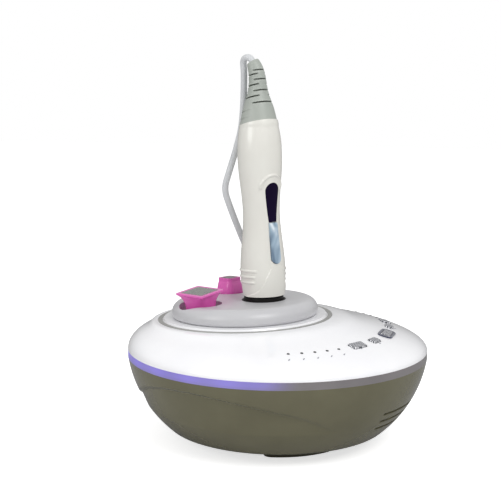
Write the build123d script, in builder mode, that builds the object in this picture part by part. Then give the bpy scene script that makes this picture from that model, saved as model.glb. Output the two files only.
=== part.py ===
from build123d import *
from math import cos, pi, radians, sin, tan
import os

os.makedirs("parts", exist_ok=True)

# Desktop facial toning unit: a round bowl-shaped base with a light ring and a white cover, a docking
# tray on its raised deck, two treatment heads parked in the tray and a corded hand piece standing in
# the dock. Millimetres, +Z up, origin on the table under the centre of the base, control keys towards -Y.

# ---- Base -------------------------------------------------------------------------------------------
base_radius = 135.0
foot_height = 3.5
bowl_foot_radius = 86.0
bowl_top = 76.5
bowl_curve_radius = 104.6
bowl_wall = 3.0
light_ring_height = 6.5
cover_bottom = bowl_top + light_ring_height
cover_rise = 25.0
cover_power = 2.1
cover_wall = 2.6
cover_levels = 7
deck_radius = 80.5
deck_shift = 31.0
deck_lean = 2.0
fit_gap = 0.2

# ---- Feet, towers and screws ------------------------------------------------------------------------
foot_ring_radius = 77.0
foot_width = 14.0
foot_arc = 37.0
foot_directions = (-30.0, 60.0, 120.0, 210.0)
tower_spacing = 100.0
tower_radius = 5.0
tower_top = 62.0
tower_shelf = 10.0
screw_radius = 1.9
screw_head_radius = 3.5
screw_head_height = 2.6
screw_grip = 12.0
hole_play = 0.1

# ---- Vent slots low on the front and scoops along both sides of the bowl -----------------------------
vent_levels = (43.6, 36.4, 29.2)
vent_height = 2.2
vent_half_arc = 26.5
scoop_low = 35.0
scoop_high = 70.0
scoop_depth = 1.7
scoop_lip = 0.15
scoop_curve_radius = 180.0
scoop_crease = ((-80.0, scoop_low), (-60.5, 49.2), (-27.4, 58.8), (7.0, 65.0), (40.0, 67.3), (80.0, 62.0),
                (108.0, 46.0), (116.0, scoop_low))

# ---- Light ring -------------------------------------------------------------------------------------
ring_width = 10.0
ring_lip = 3.0
led_count = 24
strip_thickness = 1.2

# ---- Deck, trim and tray ----------------------------------------------------------------------------
trim_outer = 79.6
trim_width = 4.0
trim_depth = 1.3
trim_proud = 0.4
plateau_rise = 1.7
tray_radius = 66.7
tray_height = 14.4
tray_lower_round = 3.6
tray_upper_round = 9.8
tray_wall = 2.6
tray_screw_ring = 56.0

# ---- Hand piece dock --------------------------------------------------------------------------------
hand_y = -18.5
hand_turn = -34.5
dock_depth = 11.0
dock_radius = 20.0
liner_inner = 18.25
liner_proud = 0.4

# ---- Hand piece -------------------------------------------------------------------------------------
hand_raise = 2.4
hand_foot = 0.6
hand_radii = ((hand_foot, 18.1), (29.0, 20.3), (75.0, 16.6), (121.0, 19.9), (156.5, 16.9))
hand_wall = 2.2
seam_height = 156.5
seam_tilt = 12.0
nose_radius = 17.9
nose_gap = 0.3
window_top = 104.0
window_bottom = 69.0
window_top_width = 14.5
window_bottom_width = 8.4
button_bottom = 32.0
button_width = 9.8
button_proud = 1.6
button_travel = 1.0
button_edge = 1.2
button_flange_thickness = 1.4
window_rim = 0.3
board_back = -4.4
board_thickness = 1.6
board_width = 14.0
post_heights = (42.0, 112.0)
boot_tip = 210.5
boot_radii = ((seam_height, 16.9), (166.5, 14.6), (175.5, 11.9), (182.0, 9.8), (189.0, 8.4), (197.0, 7.6),
              (204.0, 6.9), (boot_tip, 5.6))
boot_bend_start = 186.0
boot_bend = (-2.0, 3.8)
boot_plug_radius = 14.2
boot_plug_depth = 8.5
seam_drop = 4.5
slot_levels = (173.0, 179.2, 184.0, 189.6, 193.9, 198.8, 202.1)
slot_height = 1.4
slot_share = 0.42
groove_levels = (161.0, 167.2)
groove_size = 0.8
rib_heights = (14.7, 19.8, 25.7)
rib_width = 1.8
rib_span = 24.0
rib_proud = 0.8
arch_gap = 5.2
arch_lift = 1.8
arch_width = 2.6
arch_drop = 4.5
post_radius = 3.0
small_screw_radius = 1.1
switch_height = 48.0
nose_plug_radius = 15.7
nose_plug_height = 9.6
nose_floor = 3.0
nose_bore = 11.0
pin_ring = 7.0
pin_radius = 1.0

# ---- Treatment heads --------------------------------------------------------------------------------
head_x = 33.5
large_head_y = 30.0
small_head_y = 26.5
head_recess_depth = 9.0
large_recess_radius = 19.3
small_recess_radius = 14.5
large_head_turn = -19.0
large_head_lean = 5.0
small_head_turn = -24.0
large_head_rise = 11.5
small_head_rise = 14.0
large_head_sections = ((0.0, 24.5, 8.0), (10.0, 24.5, 8.0), (15.5, 27.0, 6.0), (19.2, 31.5, 2.5))
small_head_sections = ((0.0, 21.0, 7.0), (12.0, 21.0, 7.0), (20.0, 16.5, 3.5))
large_plate = 24.0
small_plate = 11.0
plate_thickness = 1.2
plate_proud = 0.2
contact_outer = 9.0
contact_width = 2.0
contact_thickness = 0.8

# ---- Control panel ----------------------------------------------------------------------------------
panel_share = 0.4
side_key_turn = 28.2
inner_key_turn = 15.6
key_size = ((16.0, 9.0), (11.0, 8.0), (17.0, 8.4), (11.0, 8.0), (16.0, 9.0))
key_turns = (-side_key_turn, -inner_key_turn, 0.0, inner_key_turn, side_key_turn)
key_proud = 1.3
key_depth = 5.2
key_flange = 1.5
key_flange_thickness = 1.2
key_corner = 1.6
key_gap = 0.35
key_travel = 0.8
bezel_size = (25.0, 13.0)
bezel_sunk = 0.8
bezel_proud = 0.9
first_lamp_turn = 38.9
lamp_step = 5.75
lamp_count = 5
lamp_radius = 1.2
panel_board_drop = 11.2
panel_board_thickness = 1.6
panel_board_width = 17.0
panel_board_arc = 138.0
panel_board_inset = 2.6
board_boss_radius = 2.6
board_boss_turns = (-66.0, -21.6, 21.6, 66.0)
board_screw_radius = 1.1
switch_size = 6.0
switch_body = 3.4
switch_plunger = 0.9
switch_plunger_radius = 1.5

# ---- Rear connector panel and hand piece socket -----------------------------------------------------
panel_half_width = 27.0
panel_low = 38.0
panel_high = 72.0
panel_setback = 4.7
panel_wall = 2.6
inlet_x = -8.0
inlet_width = 27.0
inlet_height = 20.0
inlet_depth = 18.0
inlet_wall = 1.6
flange_width = 1.5
flange_thickness = 1.6
pin_length = 11.5
rocker_x = 16.0
rocker_width = 13.0
rocker_height = 19.0
rocker_depth = 12.0
rocker_wall = 1.0
rocker_tilt = 8.0
rocker_pivot_depth = 2.5
rocker_pin_radius = 1.2
running_gap = 0.05
socket_turn = -28.0
socket_level = 46.0
socket_radius = 7.8
socket_depth = 14.0
socket_flange_radius = 10.0
socket_flange_thickness = 1.8
socket_seat = 0.6
plug_pin_radius = 4.8
plug_radius = 7.0
plug_length = 18.0
plug_relief_length = 24.0

# ---- Cord -------------------------------------------------------------------------------------------
cord_radius = 3.0
coil_place = (151.2, -17.3)
coil_mid_radius = 33.0
coil_join_turn = 17.5
coil_stub = 22.0
coil_slack = 0.1


def cover_section(share, inset=0.0):
    """The tilted plane and radius of the cover at a share of the way from rim to deck."""
    level = cover_bottom + cover_rise * share ** (1 / cover_power) - inset
    lean = radians(deck_lean * share)
    middle = Plane(origin=(0, deck_shift * share, level), x_dir=(1, 0, 0), z_dir=(0, sin(lean), cos(lean)))
    return middle, base_radius + (deck_radius - base_radius) * share - inset


def cover_point(share, turn):
    """A point on the cover's outside, turned away from the front."""
    middle, radius = cover_section(share)
    return middle.from_local_coords(Vector(radius * sin(radians(turn)), -radius * cos(radians(turn)), 0))


def cover_plane(turn):
    """The plane that touches the cover on the panel line, X along the line, Z outwards."""
    here = cover_point(panel_share, turn)
    along = cover_point(panel_share, turn + 0.5) - here
    inwards = cover_point(panel_share + 0.01, turn) - here
    return Plane(origin=here, x_dir=along, z_dir=along.cross(inwards))


def cover_solid(inset=0.0):
    """The cover's outer form, or its inside when inset by the wall."""
    with BuildPart() as form:
        for level in range(cover_levels):
            middle, radius = cover_section((level / (cover_levels - 1)) ** cover_power, inset)
            with BuildSketch(middle):
                Circle(radius)
        loft()
    return form.part


deck_plane = cover_section(1.0)[0]
plateau_plane = deck_plane.offset(plateau_rise)
tray_top_plane = plateau_plane.offset(tray_height)
hand_place = tray_top_plane.location * Location((0, hand_y, 0), (0, 0, hand_turn))
hand_plane = Plane(hand_place).offset(hand_raise)


def placed(plane, x, y, turn=0.0):
    """A plane moved and turned within itself."""
    return Plane(plane.location * Location((x, y, 0), (0, 0, turn)))


def upright(plane):
    """The plane's own front elevation: X across, Y up its normal."""
    return Plane(origin=plane.origin, x_dir=plane.x_dir, z_dir=-plane.y_dir)


# ---- Bowl: outer form, shared by the window and the connector panel ---------------------------------
with BuildPart() as bowl_form:
    with BuildSketch(Plane.XZ):
        with BuildLine():
            floor_line = Line((0, foot_height), (bowl_foot_radius, foot_height))
            side_arc = RadiusArc(floor_line @ 1, (base_radius, bowl_top), -bowl_curve_radius)
            Polyline(side_arc @ 1, (0, bowl_top), (0, foot_height))
        make_face()
    revolve()

arc_centre = side_arc.arc_center
inner_start = floor_line @ 1 + (arc_centre - floor_line @ 1).normalized() * bowl_wall
inner_end = side_arc @ 1 + (arc_centre - side_arc @ 1).normalized() * bowl_wall
bowl_floor = inner_start.Y


def bowl_radius(level):
    """Outer radius of the bowl at a height."""
    return arc_centre.X + (bowl_curve_radius**2 - (level - arc_centre.Y) ** 2) ** 0.5


def bowl_plane(turn, level):
    """The plane that touches the bowl at a direction and height, Z outwards."""
    radius = bowl_radius(level)
    slope = (level - arc_centre.Y) / bowl_curve_radius
    run = (radius - arc_centre.X) / bowl_curve_radius
    out = Vector(cos(radians(turn)), sin(radians(turn)), 0)
    return Plane(origin=out * radius + Vector(0, 0, level),
                 x_dir=(-sin(radians(turn)), cos(radians(turn)), 0),
                 z_dir=out * run + Vector(0, 0, slope))


socket_plane = bowl_plane(socket_turn, socket_level)
panel_face = bowl_radius(panel_low) - panel_setback
tower_spots = [(x * tower_spacing / 2, y * tower_spacing / 2, 0) for x in (-1, 1) for y in (-1, 1)]
board_posts = GridLocations(80, 40, 2, 2)
main_board_y = -18.0
main_board_level = bowl_floor + 11.0

# scoops: a leaf cut into each side down to a flatter round form, with a flat pad left round the socket
with BuildPart() as scoop_core:
    with BuildSketch(Plane.XZ):
        with BuildLine():
            core_arc = RadiusArc((bowl_radius(scoop_low) + scoop_lip, scoop_low),
                                 (bowl_radius(scoop_high) - scoop_depth, scoop_high), -scoop_curve_radius)
            Polyline(core_arc @ 1, (0, scoop_high), (0, scoop_low), core_arc @ 0)
        make_face()
    revolve()

with BuildPart() as scoops:
    with BuildSketch(Plane.YZ):
        with BuildLine():
            crease = Spline(*scoop_crease)
            Line(crease @ 1, crease @ 0)
        make_face()
    extrude(amount=base_radius, both=True)
    add(scoop_core.part, mode=Mode.SUBTRACT)
    with Locations(socket_plane):
        Cylinder(socket_flange_radius + bowl_wall, socket_depth, mode=Mode.SUBTRACT)

with BuildPart() as bowl:
    add(bowl_form.part)
    add(scoops.part, mode=Mode.SUBTRACT)
    with BuildSketch(Plane.XZ):
        with BuildLine():
            RadiusArc((inner_start.X, inner_start.Y), (inner_end.X, inner_end.Y), -(bowl_curve_radius - bowl_wall))
            Polyline((inner_end.X, inner_end.Y), (0, inner_end.Y), (0, inner_start.Y), (inner_start.X, inner_start.Y))
        make_face()
    revolve(mode=Mode.SUBTRACT)
    # screw towers and board posts stand on the floor
    with BuildSketch(Plane.XY.offset(foot_height)):
        with Locations(*tower_spots):
            Circle(tower_radius)
    extrude(amount=tower_top - foot_height)
    with BuildSketch(Plane.XY.offset(foot_height)):
        with Locations((0, main_board_y)):
            with board_posts:
                Circle(3.4)
    extrude(amount=main_board_level - foot_height)
    with Locations(Plane.XY.offset(foot_height)):
        with Locations(*tower_spots):
            Cylinder(screw_radius + fit_gap, tower_top, align=(Align.CENTER, Align.CENTER, Align.MIN),
                     mode=Mode.SUBTRACT)
            Cylinder(screw_head_radius + fit_gap, tower_top - tower_shelf - foot_height, mode=Mode.SUBTRACT,
                     align=(Align.CENTER, Align.CENTER, Align.MIN))
    # window for the rear connector panel
    with Locations((0, panel_face - panel_wall, (panel_low + panel_high) / 2)):
        Box(2 * (panel_half_width + fit_gap), 40, panel_high - panel_low + 2 * fit_gap,
            align=(Align.CENTER, Align.MIN, Align.CENTER), mode=Mode.SUBTRACT)
    # round hole and flat seat for the hand piece socket
    with Locations(socket_plane):
        Cylinder(socket_radius + fit_gap, 20, mode=Mode.SUBTRACT)
    with Locations(socket_plane.offset(-socket_seat)):
        Cylinder(socket_flange_radius + fit_gap, 10, align=(Align.CENTER, Align.CENTER, Align.MIN),
                 mode=Mode.SUBTRACT)
    # three curved vent slots low on the front
    for vent_level in vent_levels:
        vent_plane = bowl_plane(-90 - vent_half_arc, vent_level)
        with BuildSketch(Plane(origin=vent_plane.origin, x_dir=vent_plane.z_dir, z_dir=-vent_plane.x_dir)):
            Rectangle(4 * bowl_wall, vent_height)
        revolve(axis=Axis.Z, revolution_arc=2 * vent_half_arc, mode=Mode.SUBTRACT)
bowl.part.label = "bowl"
export_step(bowl.part, "parts/bowl.step")


def finish(piece, name):
    """Labels a finished piece and writes its STEP file."""
    piece.part.label = name
    export_step(piece.part, "parts/" + name + ".step")


with BuildPart() as rubber_feet:
    with BuildSketch():
        for direction in foot_directions:
            with BuildLine():
                foot_line = CenterArc((0, 0), foot_ring_radius, direction - foot_arc / 2, foot_arc)
            SlotArc(foot_line, foot_width)
    extrude(amount=foot_height)
    chamfer(rubber_feet.edges().group_by(Axis.Z)[0], 0.8)
finish(rubber_feet, "rubber_feet")

with BuildPart() as base_screws:
    with Locations(Plane.XY.offset(tower_top - tower_shelf)):
        with Locations(*tower_spots):
            Cylinder(screw_head_radius, screw_head_height, align=(Align.CENTER, Align.CENTER, Align.MAX))
            Cylinder(screw_radius, tower_shelf + screw_grip, align=(Align.CENTER, Align.CENTER, Align.MIN))
finish(base_screws, "base_screws")

# ---- Light ring between bowl and cover, with its LED strip standing on an inner shelf ----------------
ring_inner = base_radius - ring_width
lip_outer = arc_centre.X - fit_gap + (
    (bowl_curve_radius - bowl_wall) ** 2 - (bowl_top - ring_lip - arc_centre.Y) ** 2) ** 0.5
lip_width = 2.4
shelf_width = 4.0
shelf_height = 1.2

with BuildPart() as light_ring:
    with BuildSketch(Plane.XZ):
        with BuildLine():
            Polyline((ring_inner - shelf_width, bowl_top), (lip_outer - lip_width, bowl_top),
                     (lip_outer - lip_width, bowl_top - ring_lip), (lip_outer, bowl_top - ring_lip),
                     (lip_outer, bowl_top), (base_radius, bowl_top), (base_radius, cover_bottom),
                     (ring_inner, cover_bottom), (ring_inner, bowl_top + shelf_height),
                     (ring_inner - shelf_width, bowl_top + shelf_height), close=True)
        make_face()
    revolve()
finish(light_ring, "light_ring")

strip_radius = ring_inner - 2.4
with BuildPart() as led_strip:
    with BuildSketch(Plane.XY.offset(bowl_top + shelf_height)):
        Circle(strip_radius + strip_thickness)
        Circle(strip_radius, mode=Mode.SUBTRACT)
    extrude(amount=light_ring_height - shelf_height - 0.5)
    with Locations(Plane.XY.offset(bowl_top + light_ring_height / 2)):
        with PolarLocations(strip_radius + strip_thickness + 0.3, led_count):
            Box(1.2, 3.0, 3.0)
finish(led_strip, "led_strip")

# ---- Top cover: a skewed dome up to the leaning deck, with plateau, bosses and openings --------------
panel_plane, panel_radius = cover_section(panel_share)
board_plane = panel_plane.offset(-panel_board_drop)
lamp_turns = [side * (first_lamp_turn + lamp_step * lamp) for side in (-1, 1) for lamp in range(lamp_count)]
large_recess_plane = placed(tray_top_plane, -head_x, large_head_y).rotated((0, -large_head_lean, 0))
small_recess_plane = placed(tray_top_plane, head_x, small_head_y)
tray_screw_spots = [(tray_screw_ring * sin(radians(turn)), tray_screw_ring * cos(radians(turn)), 0)
                    for turn in (0, 125, 235)]
board_radius = panel_radius - panel_board_inset


def board_spot(turn, radius=board_radius):
    """A spot on the control board, turned away from the front."""
    return radius * sin(radians(turn)), -radius * cos(radians(turn))


cover_form = cover_solid()
with BuildPart() as boss_form:
    with Locations(Plane.XY.offset(tower_top)):
        with Locations(*tower_spots):
            Cylinder(tower_radius, 80, align=(Align.CENTER, Align.CENTER, Align.MIN))
    with BuildSketch(board_plane):
        with Locations(*[board_spot(turn) for turn in board_boss_turns]):
            Circle(board_boss_radius)
    extrude(amount=30)
    add(cover_form, mode=Mode.INTERSECT)

with BuildPart() as top_cover:
    add(cover_form)
    with BuildSketch(deck_plane):
        Circle(trim_outer - trim_width - 0.6)
    extrude(amount=plateau_rise, taper=30)
    add(cover_solid(cover_wall), mode=Mode.SUBTRACT)
    add(boss_form.part)
    with BuildSketch(deck_plane):
        Circle(trim_outer + hole_play)
        Circle(trim_outer - trim_width - hole_play, mode=Mode.SUBTRACT)
    extrude(amount=-trim_depth, mode=Mode.SUBTRACT)
    with Locations(Plane.XY.offset(tower_top)):
        with Locations(*tower_spots):
            Cylinder(screw_radius + hole_play, screw_grip + 1, mode=Mode.SUBTRACT,
                     align=(Align.CENTER, Align.CENTER, Align.MIN))
    with Locations(plateau_plane):
        with Locations(*tray_screw_spots):
            Cylinder(screw_radius + hole_play, 30, mode=Mode.SUBTRACT)
    with Locations(board_plane):
        with Locations(*[(*board_spot(turn), 0) for turn in board_boss_turns]):
            Cylinder(board_screw_radius + hole_play, 10, mode=Mode.SUBTRACT)
    for turn, (width, depth) in zip(key_turns, key_size):
        with BuildSketch(cover_plane(turn)):
            RectangleRounded(width + 2 * key_gap, depth + 2 * key_gap, key_corner)
        extrude(amount=8, both=True, mode=Mode.SUBTRACT)
    with BuildSketch(cover_plane(0).offset(-bezel_sunk)):
        RectangleRounded(bezel_size[0] + 2 * hole_play, bezel_size[1] + 2 * hole_play, 5)
    extrude(amount=8, mode=Mode.SUBTRACT)
    for turn in lamp_turns:
        with Locations(cover_plane(turn)):
            Cylinder(lamp_radius + hole_play, 16, mode=Mode.SUBTRACT)
finish(top_cover, "top_cover")

with BuildPart() as trim_ring:
    with BuildSketch(deck_plane.offset(-trim_depth)):
        Circle(trim_outer)
        Circle(trim_outer - trim_width, mode=Mode.SUBTRACT)
    extrude(amount=trim_depth + trim_proud)
    fillet(trim_ring.faces().sort_by(SortBy.AREA)[-2:].edges(), 0.3)
finish(trim_ring, "trim_ring")

# ---- Tray: a soft-edged hollow puck with a dock well and two head recesses ---------------------------
recesses = ((large_recess_plane, large_recess_radius), (small_recess_plane, small_recess_radius))


def tray_profile(inset, bottom):
    """Half section of the puck, inset for its hollow; bottom lets the hollow run out below."""
    outer = tray_radius - inset
    top = tray_height - inset
    with BuildSketch(upright(plateau_plane)) as half:
        with BuildLine():
            start = Line((0, bottom), (outer - tray_lower_round, bottom))
            if bottom < 0:
                lower = Polyline(start @ 1, (outer - tray_lower_round, 0), (outer, tray_lower_round))
            else:
                lower = RadiusArc(start @ 1, (outer, tray_lower_round), -tray_lower_round)
            Line(lower @ 1, (outer, tray_height - tray_upper_round))
            upper = CenterArc((tray_radius - tray_upper_round, tray_height - tray_upper_round),
                              tray_upper_round - inset, 0, 90)
            Polyline(upper @ 1, (0, top), (0, bottom))
        make_face()
    return half.sketch


with BuildPart() as tray_hollow:
    add(tray_profile(tray_wall, -1))
    revolve(axis=Axis(plateau_plane.origin, plateau_plane.z_dir))
    with BuildSketch(plateau_plane):
        with Locations((0, hand_y)):
            Circle(dock_radius + hole_play + tray_wall)
        with Locations(*tray_screw_spots):
            Circle(screw_radius + tray_wall)
    extrude(amount=tray_height, mode=Mode.SUBTRACT)
    for recess_plane, recess_radius in recesses:
        with Locations(recess_plane):
            Cylinder(recess_radius + tray_wall, 4 * tray_height, mode=Mode.SUBTRACT)

with BuildPart() as tray:
    add(tray_profile(0, 0))
    revolve(axis=Axis(plateau_plane.origin, plateau_plane.z_dir))
    add(tray_hollow.part, mode=Mode.SUBTRACT)
    with BuildSketch(tray_top_plane):
        with Locations((0, hand_y)):
            Circle(dock_radius + hole_play)
    extrude(amount=-dock_depth, mode=Mode.SUBTRACT)
    for recess_plane, recess_radius in recesses:
        with Locations(recess_plane):
            Cylinder(recess_radius, 2 * head_recess_depth, mode=Mode.SUBTRACT)
    with Locations(plateau_plane):
        with Locations(*tray_screw_spots):
            Cylinder(screw_radius + hole_play, 2 * screw_grip, mode=Mode.SUBTRACT)
finish(tray, "tray")

with BuildPart() as tray_screws:
    with Locations(deck_plane.offset(-cover_wall)):
        with Locations(*tray_screw_spots):
            Cylinder(screw_head_radius, screw_head_height, align=(Align.CENTER, Align.CENTER, Align.MAX))
            Cylinder(screw_radius, screw_grip, align=(Align.CENTER, Align.CENTER, Align.MIN))
finish(tray_screws, "tray_screws")

with BuildPart() as dock_liner:
    with BuildSketch(placed(tray_top_plane, 0, hand_y).offset(liner_proud)):
        Circle(dock_radius)
        Circle(liner_inner, mode=Mode.SUBTRACT)
    extrude(amount=-(dock_depth + liner_proud))
    chamfer(dock_liner.edges().sort_by(Axis.Z)[-2:], 0.3)
finish(dock_liner, "dock_liner")

# ---- Control panel: bezel, light pipes, arc board and its switches -----------------------------------
with BuildPart() as power_bezel:
    with BuildSketch(cover_plane(0).offset(-bezel_sunk)):
        RectangleRounded(*bezel_size, 5)
        RectangleRounded(key_size[2][0] + 2 * key_gap, key_size[2][1] + 2 * key_gap, key_corner,
                         mode=Mode.SUBTRACT)
    extrude(amount=bezel_sunk + bezel_proud)
finish(power_bezel, "power_bezel")

with BuildPart() as indicator_lenses:
    for turn in lamp_turns:
        with Locations(cover_plane(turn).offset(0.3)):
            Cylinder(lamp_radius, 7.5, align=(Align.CENTER, Align.CENTER, Align.MAX))
finish(indicator_lenses, "indicator_lenses")

with BuildPart() as control_board:
    with BuildSketch(board_plane):
        with BuildLine():
            board_line = CenterArc((0, 0), board_radius, -90 - panel_board_arc / 2, panel_board_arc)
        SlotArc(board_line, panel_board_width)
        with Locations(*[board_spot(turn) for turn in board_boss_turns]):
            Circle(board_screw_radius + hole_play, mode=Mode.SUBTRACT)
    extrude(amount=-panel_board_thickness)
    with BuildSketch(board_plane):
        with Locations(*[board_spot(turn) for turn in lamp_turns]):
            Rectangle(2, 2)
    extrude(amount=1.2)
finish(control_board, "control_board")

with BuildPart() as board_screws:
    with BuildSketch(board_plane.offset(-panel_board_thickness)):
        with Locations(*[board_spot(turn) for turn in board_boss_turns]):
            Circle(2 * board_screw_radius)
    extrude(amount=-1.4)
    with BuildSketch(board_plane.offset(-panel_board_thickness)):
        with Locations(*[board_spot(turn) for turn in board_boss_turns]):
            Circle(board_screw_radius)
    extrude(amount=panel_board_thickness + 4)
finish(board_screws, "board_screws")

with BuildPart() as key_switches:
    for turn in key_turns:
        under_key = board_plane.to_local_coords(cover_plane(turn).from_local_coords(Vector(0, 0, -key_depth - 2)))
        with BuildSketch(placed(board_plane, under_key.X, under_key.Y, turn)):
            Rectangle(switch_size, switch_size)
        extrude(amount=switch_body)
        with BuildSketch(placed(board_plane, under_key.X, under_key.Y)):
            Circle(switch_plunger_radius)
        extrude(amount=switch_body + switch_plunger)
finish(key_switches, "key_switches")

for number, (turn, (width, depth)) in enumerate(zip(key_turns, key_size), start=1):
    with BuildPart() as key:
        with BuildSketch(cover_plane(turn).offset(-key_depth)):
            RectangleRounded(width, depth, key_corner)
        extrude(amount=key_depth + key_proud)
        chamfer(key.faces().sort_by(Axis.Z)[-1].edges(), 0.6)
        with BuildSketch(cover_plane(turn).offset(-key_depth)):
            RectangleRounded(width + 2 * key_flange, depth + 2 * key_flange, key_corner + key_flange)
        extrude(amount=key_flange_thickness)
    finish(key, "key_" + str(number))

# ---- Inside the bowl ---------------------------------------------------------------------------------
main_board_size = (92.0, 52.0, 1.6)
with BuildPart() as main_board:
    with BuildSketch(Plane.XY.offset(main_board_level)):
        with Locations((0, main_board_y)):
            Rectangle(main_board_size[0], main_board_size[1])
    extrude(amount=main_board_size[2])
    with Locations((0, main_board_y, main_board_level + main_board_size[2])):
        with Locations((-30, 12, 0), (-30, -8, 0), (-12, 14, 0)):
            Cylinder(6, 16, align=(Align.CENTER, Align.CENTER, Align.MIN))
        with Locations((22, 10, 0)):
            Box(26, 18, 14, align=(Align.CENTER, Align.CENTER, Align.MIN))
        with Locations((4, -12, 0)):
            Box(14, 14, 2.4, align=(Align.CENTER, Align.CENTER, Align.MIN))
finish(main_board, "main_board")

with BuildPart() as buzzer:
    with Locations((30, main_board_y - 14, main_board_level + main_board_size[2])):
        Cylinder(7, 7, align=(Align.CENTER, Align.CENTER, Align.MIN))
        Cylinder(1.5, 7.5, align=(Align.CENTER, Align.CENTER, Align.MIN), mode=Mode.SUBTRACT)
finish(buzzer, "buzzer")

transformer_y = 38.0
with BuildPart() as transformer:
    with Locations((0, transformer_y, bowl_floor)):
        Box(60, 20, 2, align=(Align.CENTER, Align.CENTER, Align.MIN))
        Box(44, 18, 36, align=(Align.CENTER, Align.CENTER, Align.MIN))
    with Locations((0, transformer_y, bowl_floor + 18)):
        Box(26, 33, 26)
    fillet(transformer.edges().filter_by(Axis.Z).group_by(Axis.Y)[0], 3)
    fillet(transformer.edges().filter_by(Axis.Z).group_by(Axis.Y)[-1], 3)
finish(transformer, "transformer")

# ---- Rear connector panel with mains inlet and rocker switch -----------------------------------------
panel_middle = (panel_low + panel_high) / 2
rear_face = Plane(origin=(0, panel_face, panel_middle), x_dir=(-1, 0, 0), z_dir=(0, 1, 0))
inlet_face = rear_face.location * Location((-inlet_x, 0, 0))
rocker_face = rear_face.location * Location((-rocker_x, 0, 0))

with BuildPart() as connector_panel:
    with BuildSketch(rear_face.offset(-panel_wall)):
        Rectangle(2 * panel_half_width, panel_high - panel_low)
    extrude(amount=40)
    add(bowl_form.part, mode=Mode.INTERSECT)
    with BuildSketch(rear_face):
        Rectangle(2 * (panel_half_width - panel_wall), panel_high - panel_low - 2 * panel_wall)
    extrude(amount=40, mode=Mode.SUBTRACT)
    with BuildSketch(rear_face):
        with Locations((-inlet_x, 0)):
            Rectangle(inlet_width + 2 * hole_play, inlet_height + 2 * hole_play)
        with Locations((-rocker_x, 0)):
            Rectangle(rocker_width + 2 * hole_play, rocker_height + 2 * hole_play)
    extrude(amount=-2 * panel_wall, mode=Mode.SUBTRACT)
finish(connector_panel, "connector_panel")

with BuildPart() as power_inlet:
    with BuildSketch(Plane(inlet_face)):
        RectangleRounded(inlet_width + 2 * flange_width, inlet_height + 2 * flange_width, 2)
    extrude(amount=flange_thickness)
    with BuildSketch(Plane(inlet_face)):
        Rectangle(inlet_width, inlet_height)
    extrude(amount=-inlet_depth)
    with BuildSketch(Plane(inlet_face).offset(flange_thickness)):
        RectangleRounded(inlet_width - 2 * inlet_wall, inlet_height - 2 * inlet_wall, 3)
    extrude(amount=-inlet_depth, mode=Mode.SUBTRACT)
finish(power_inlet, "power_inlet")

with BuildPart() as inlet_pins:
    with BuildSketch(Plane(inlet_face).offset(flange_thickness - inlet_depth)):
        with Locations((-7, -2), (0, 2), (7, -2)):
            Rectangle(2, 4)
    extrude(amount=pin_length)
finish(inlet_pins, "inlet_pins")

rocker_plane = Plane(rocker_face).offset(-rocker_pivot_depth)
with BuildPart() as switch_frame:
    with BuildSketch(Plane(rocker_face)):
        RectangleRounded(rocker_width + 2 * flange_width, rocker_height + 2 * flange_width, 1.5)
    extrude(amount=flange_thickness)
    with BuildSketch(Plane(rocker_face)):
        Rectangle(rocker_width, rocker_height)
    extrude(amount=-rocker_depth)
    with BuildSketch(Plane(rocker_face).offset(flange_thickness)):
        Rectangle(rocker_width - 2 * rocker_wall, rocker_height - 2 * rocker_wall)
    extrude(amount=-8, mode=Mode.SUBTRACT)
    with Locations(rocker_plane.location * Location((0, 0, 0), (0, 90, 0))):
        Cylinder(rocker_pin_radius + running_gap, rocker_width - 0.4, mode=Mode.SUBTRACT)
finish(switch_frame, "switch_frame")

rocker_half = rocker_height / 2 - rocker_wall - 0.8
rocker_thin = rocker_width - 2 * rocker_wall - 2 * 0.3
with BuildPart() as power_rocker:
    tilted = rocker_plane.location * Location((0, 0, 0), (rocker_tilt, 0, 0))
    rocker_side = Plane(tilted * Location((0, 0, 0), (0, 90, 0)))
    with BuildSketch(rocker_side):
        with BuildLine():
            Polyline((-5.2, rocker_half), (-3.2, 0), (-5.2, -rocker_half), (2.2, -rocker_half + 2.5),
                     (2.8, 0), (2.2, rocker_half - 2.5), close=True)
        make_face()
    extrude(amount=rocker_thin / 2, both=True)
    with Locations(Plane(rocker_plane.location * Location((0, 0, 0), (0, 90, 0)))):
        Cylinder(rocker_pin_radius, rocker_width - 0.8)
finish(power_rocker, "power_rocker")

with BuildPart() as handpiece_socket:
    with Locations(socket_plane.offset(-socket_seat)):
        Cylinder(socket_flange_radius, socket_flange_thickness, align=(Align.CENTER, Align.CENTER, Align.MIN))
        Cylinder(socket_radius, socket_depth, align=(Align.CENTER, Align.CENTER, Align.MAX))
    with Locations(socket_plane.offset(socket_flange_thickness - socket_seat)):
        Cylinder(plug_pin_radius + fit_gap, 10.5, align=(Align.CENTER, Align.CENTER, Align.MAX),
                 mode=Mode.SUBTRACT)
finish(handpiece_socket, "handpiece_socket")


# ---- Hand piece: grip shells on a board, display window, nose collar, boot ---------------------------
grip_plane = upright(hand_plane)
grip_axis = Axis(hand_plane.origin, hand_plane.z_dir)
seam_plane = Plane(hand_plane.offset(seam_height).location * Location((0, 0, 0), (-seam_tilt, 0, 0)))


def grip_form(inset=0.0):
    """The grip's round form, or its hollow when inset by the wall."""
    with BuildPart() as form:
        with BuildSketch(grip_plane):
            with BuildLine():
                side = Spline([(radius - inset, height) for height, radius in hand_radii])
                Polyline(side @ 1, (0, (side @ 1).Y), (0, (side @ 0).Y), side @ 0)
            make_face()
        revolve(axis=grip_axis)
    return form.part


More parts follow.
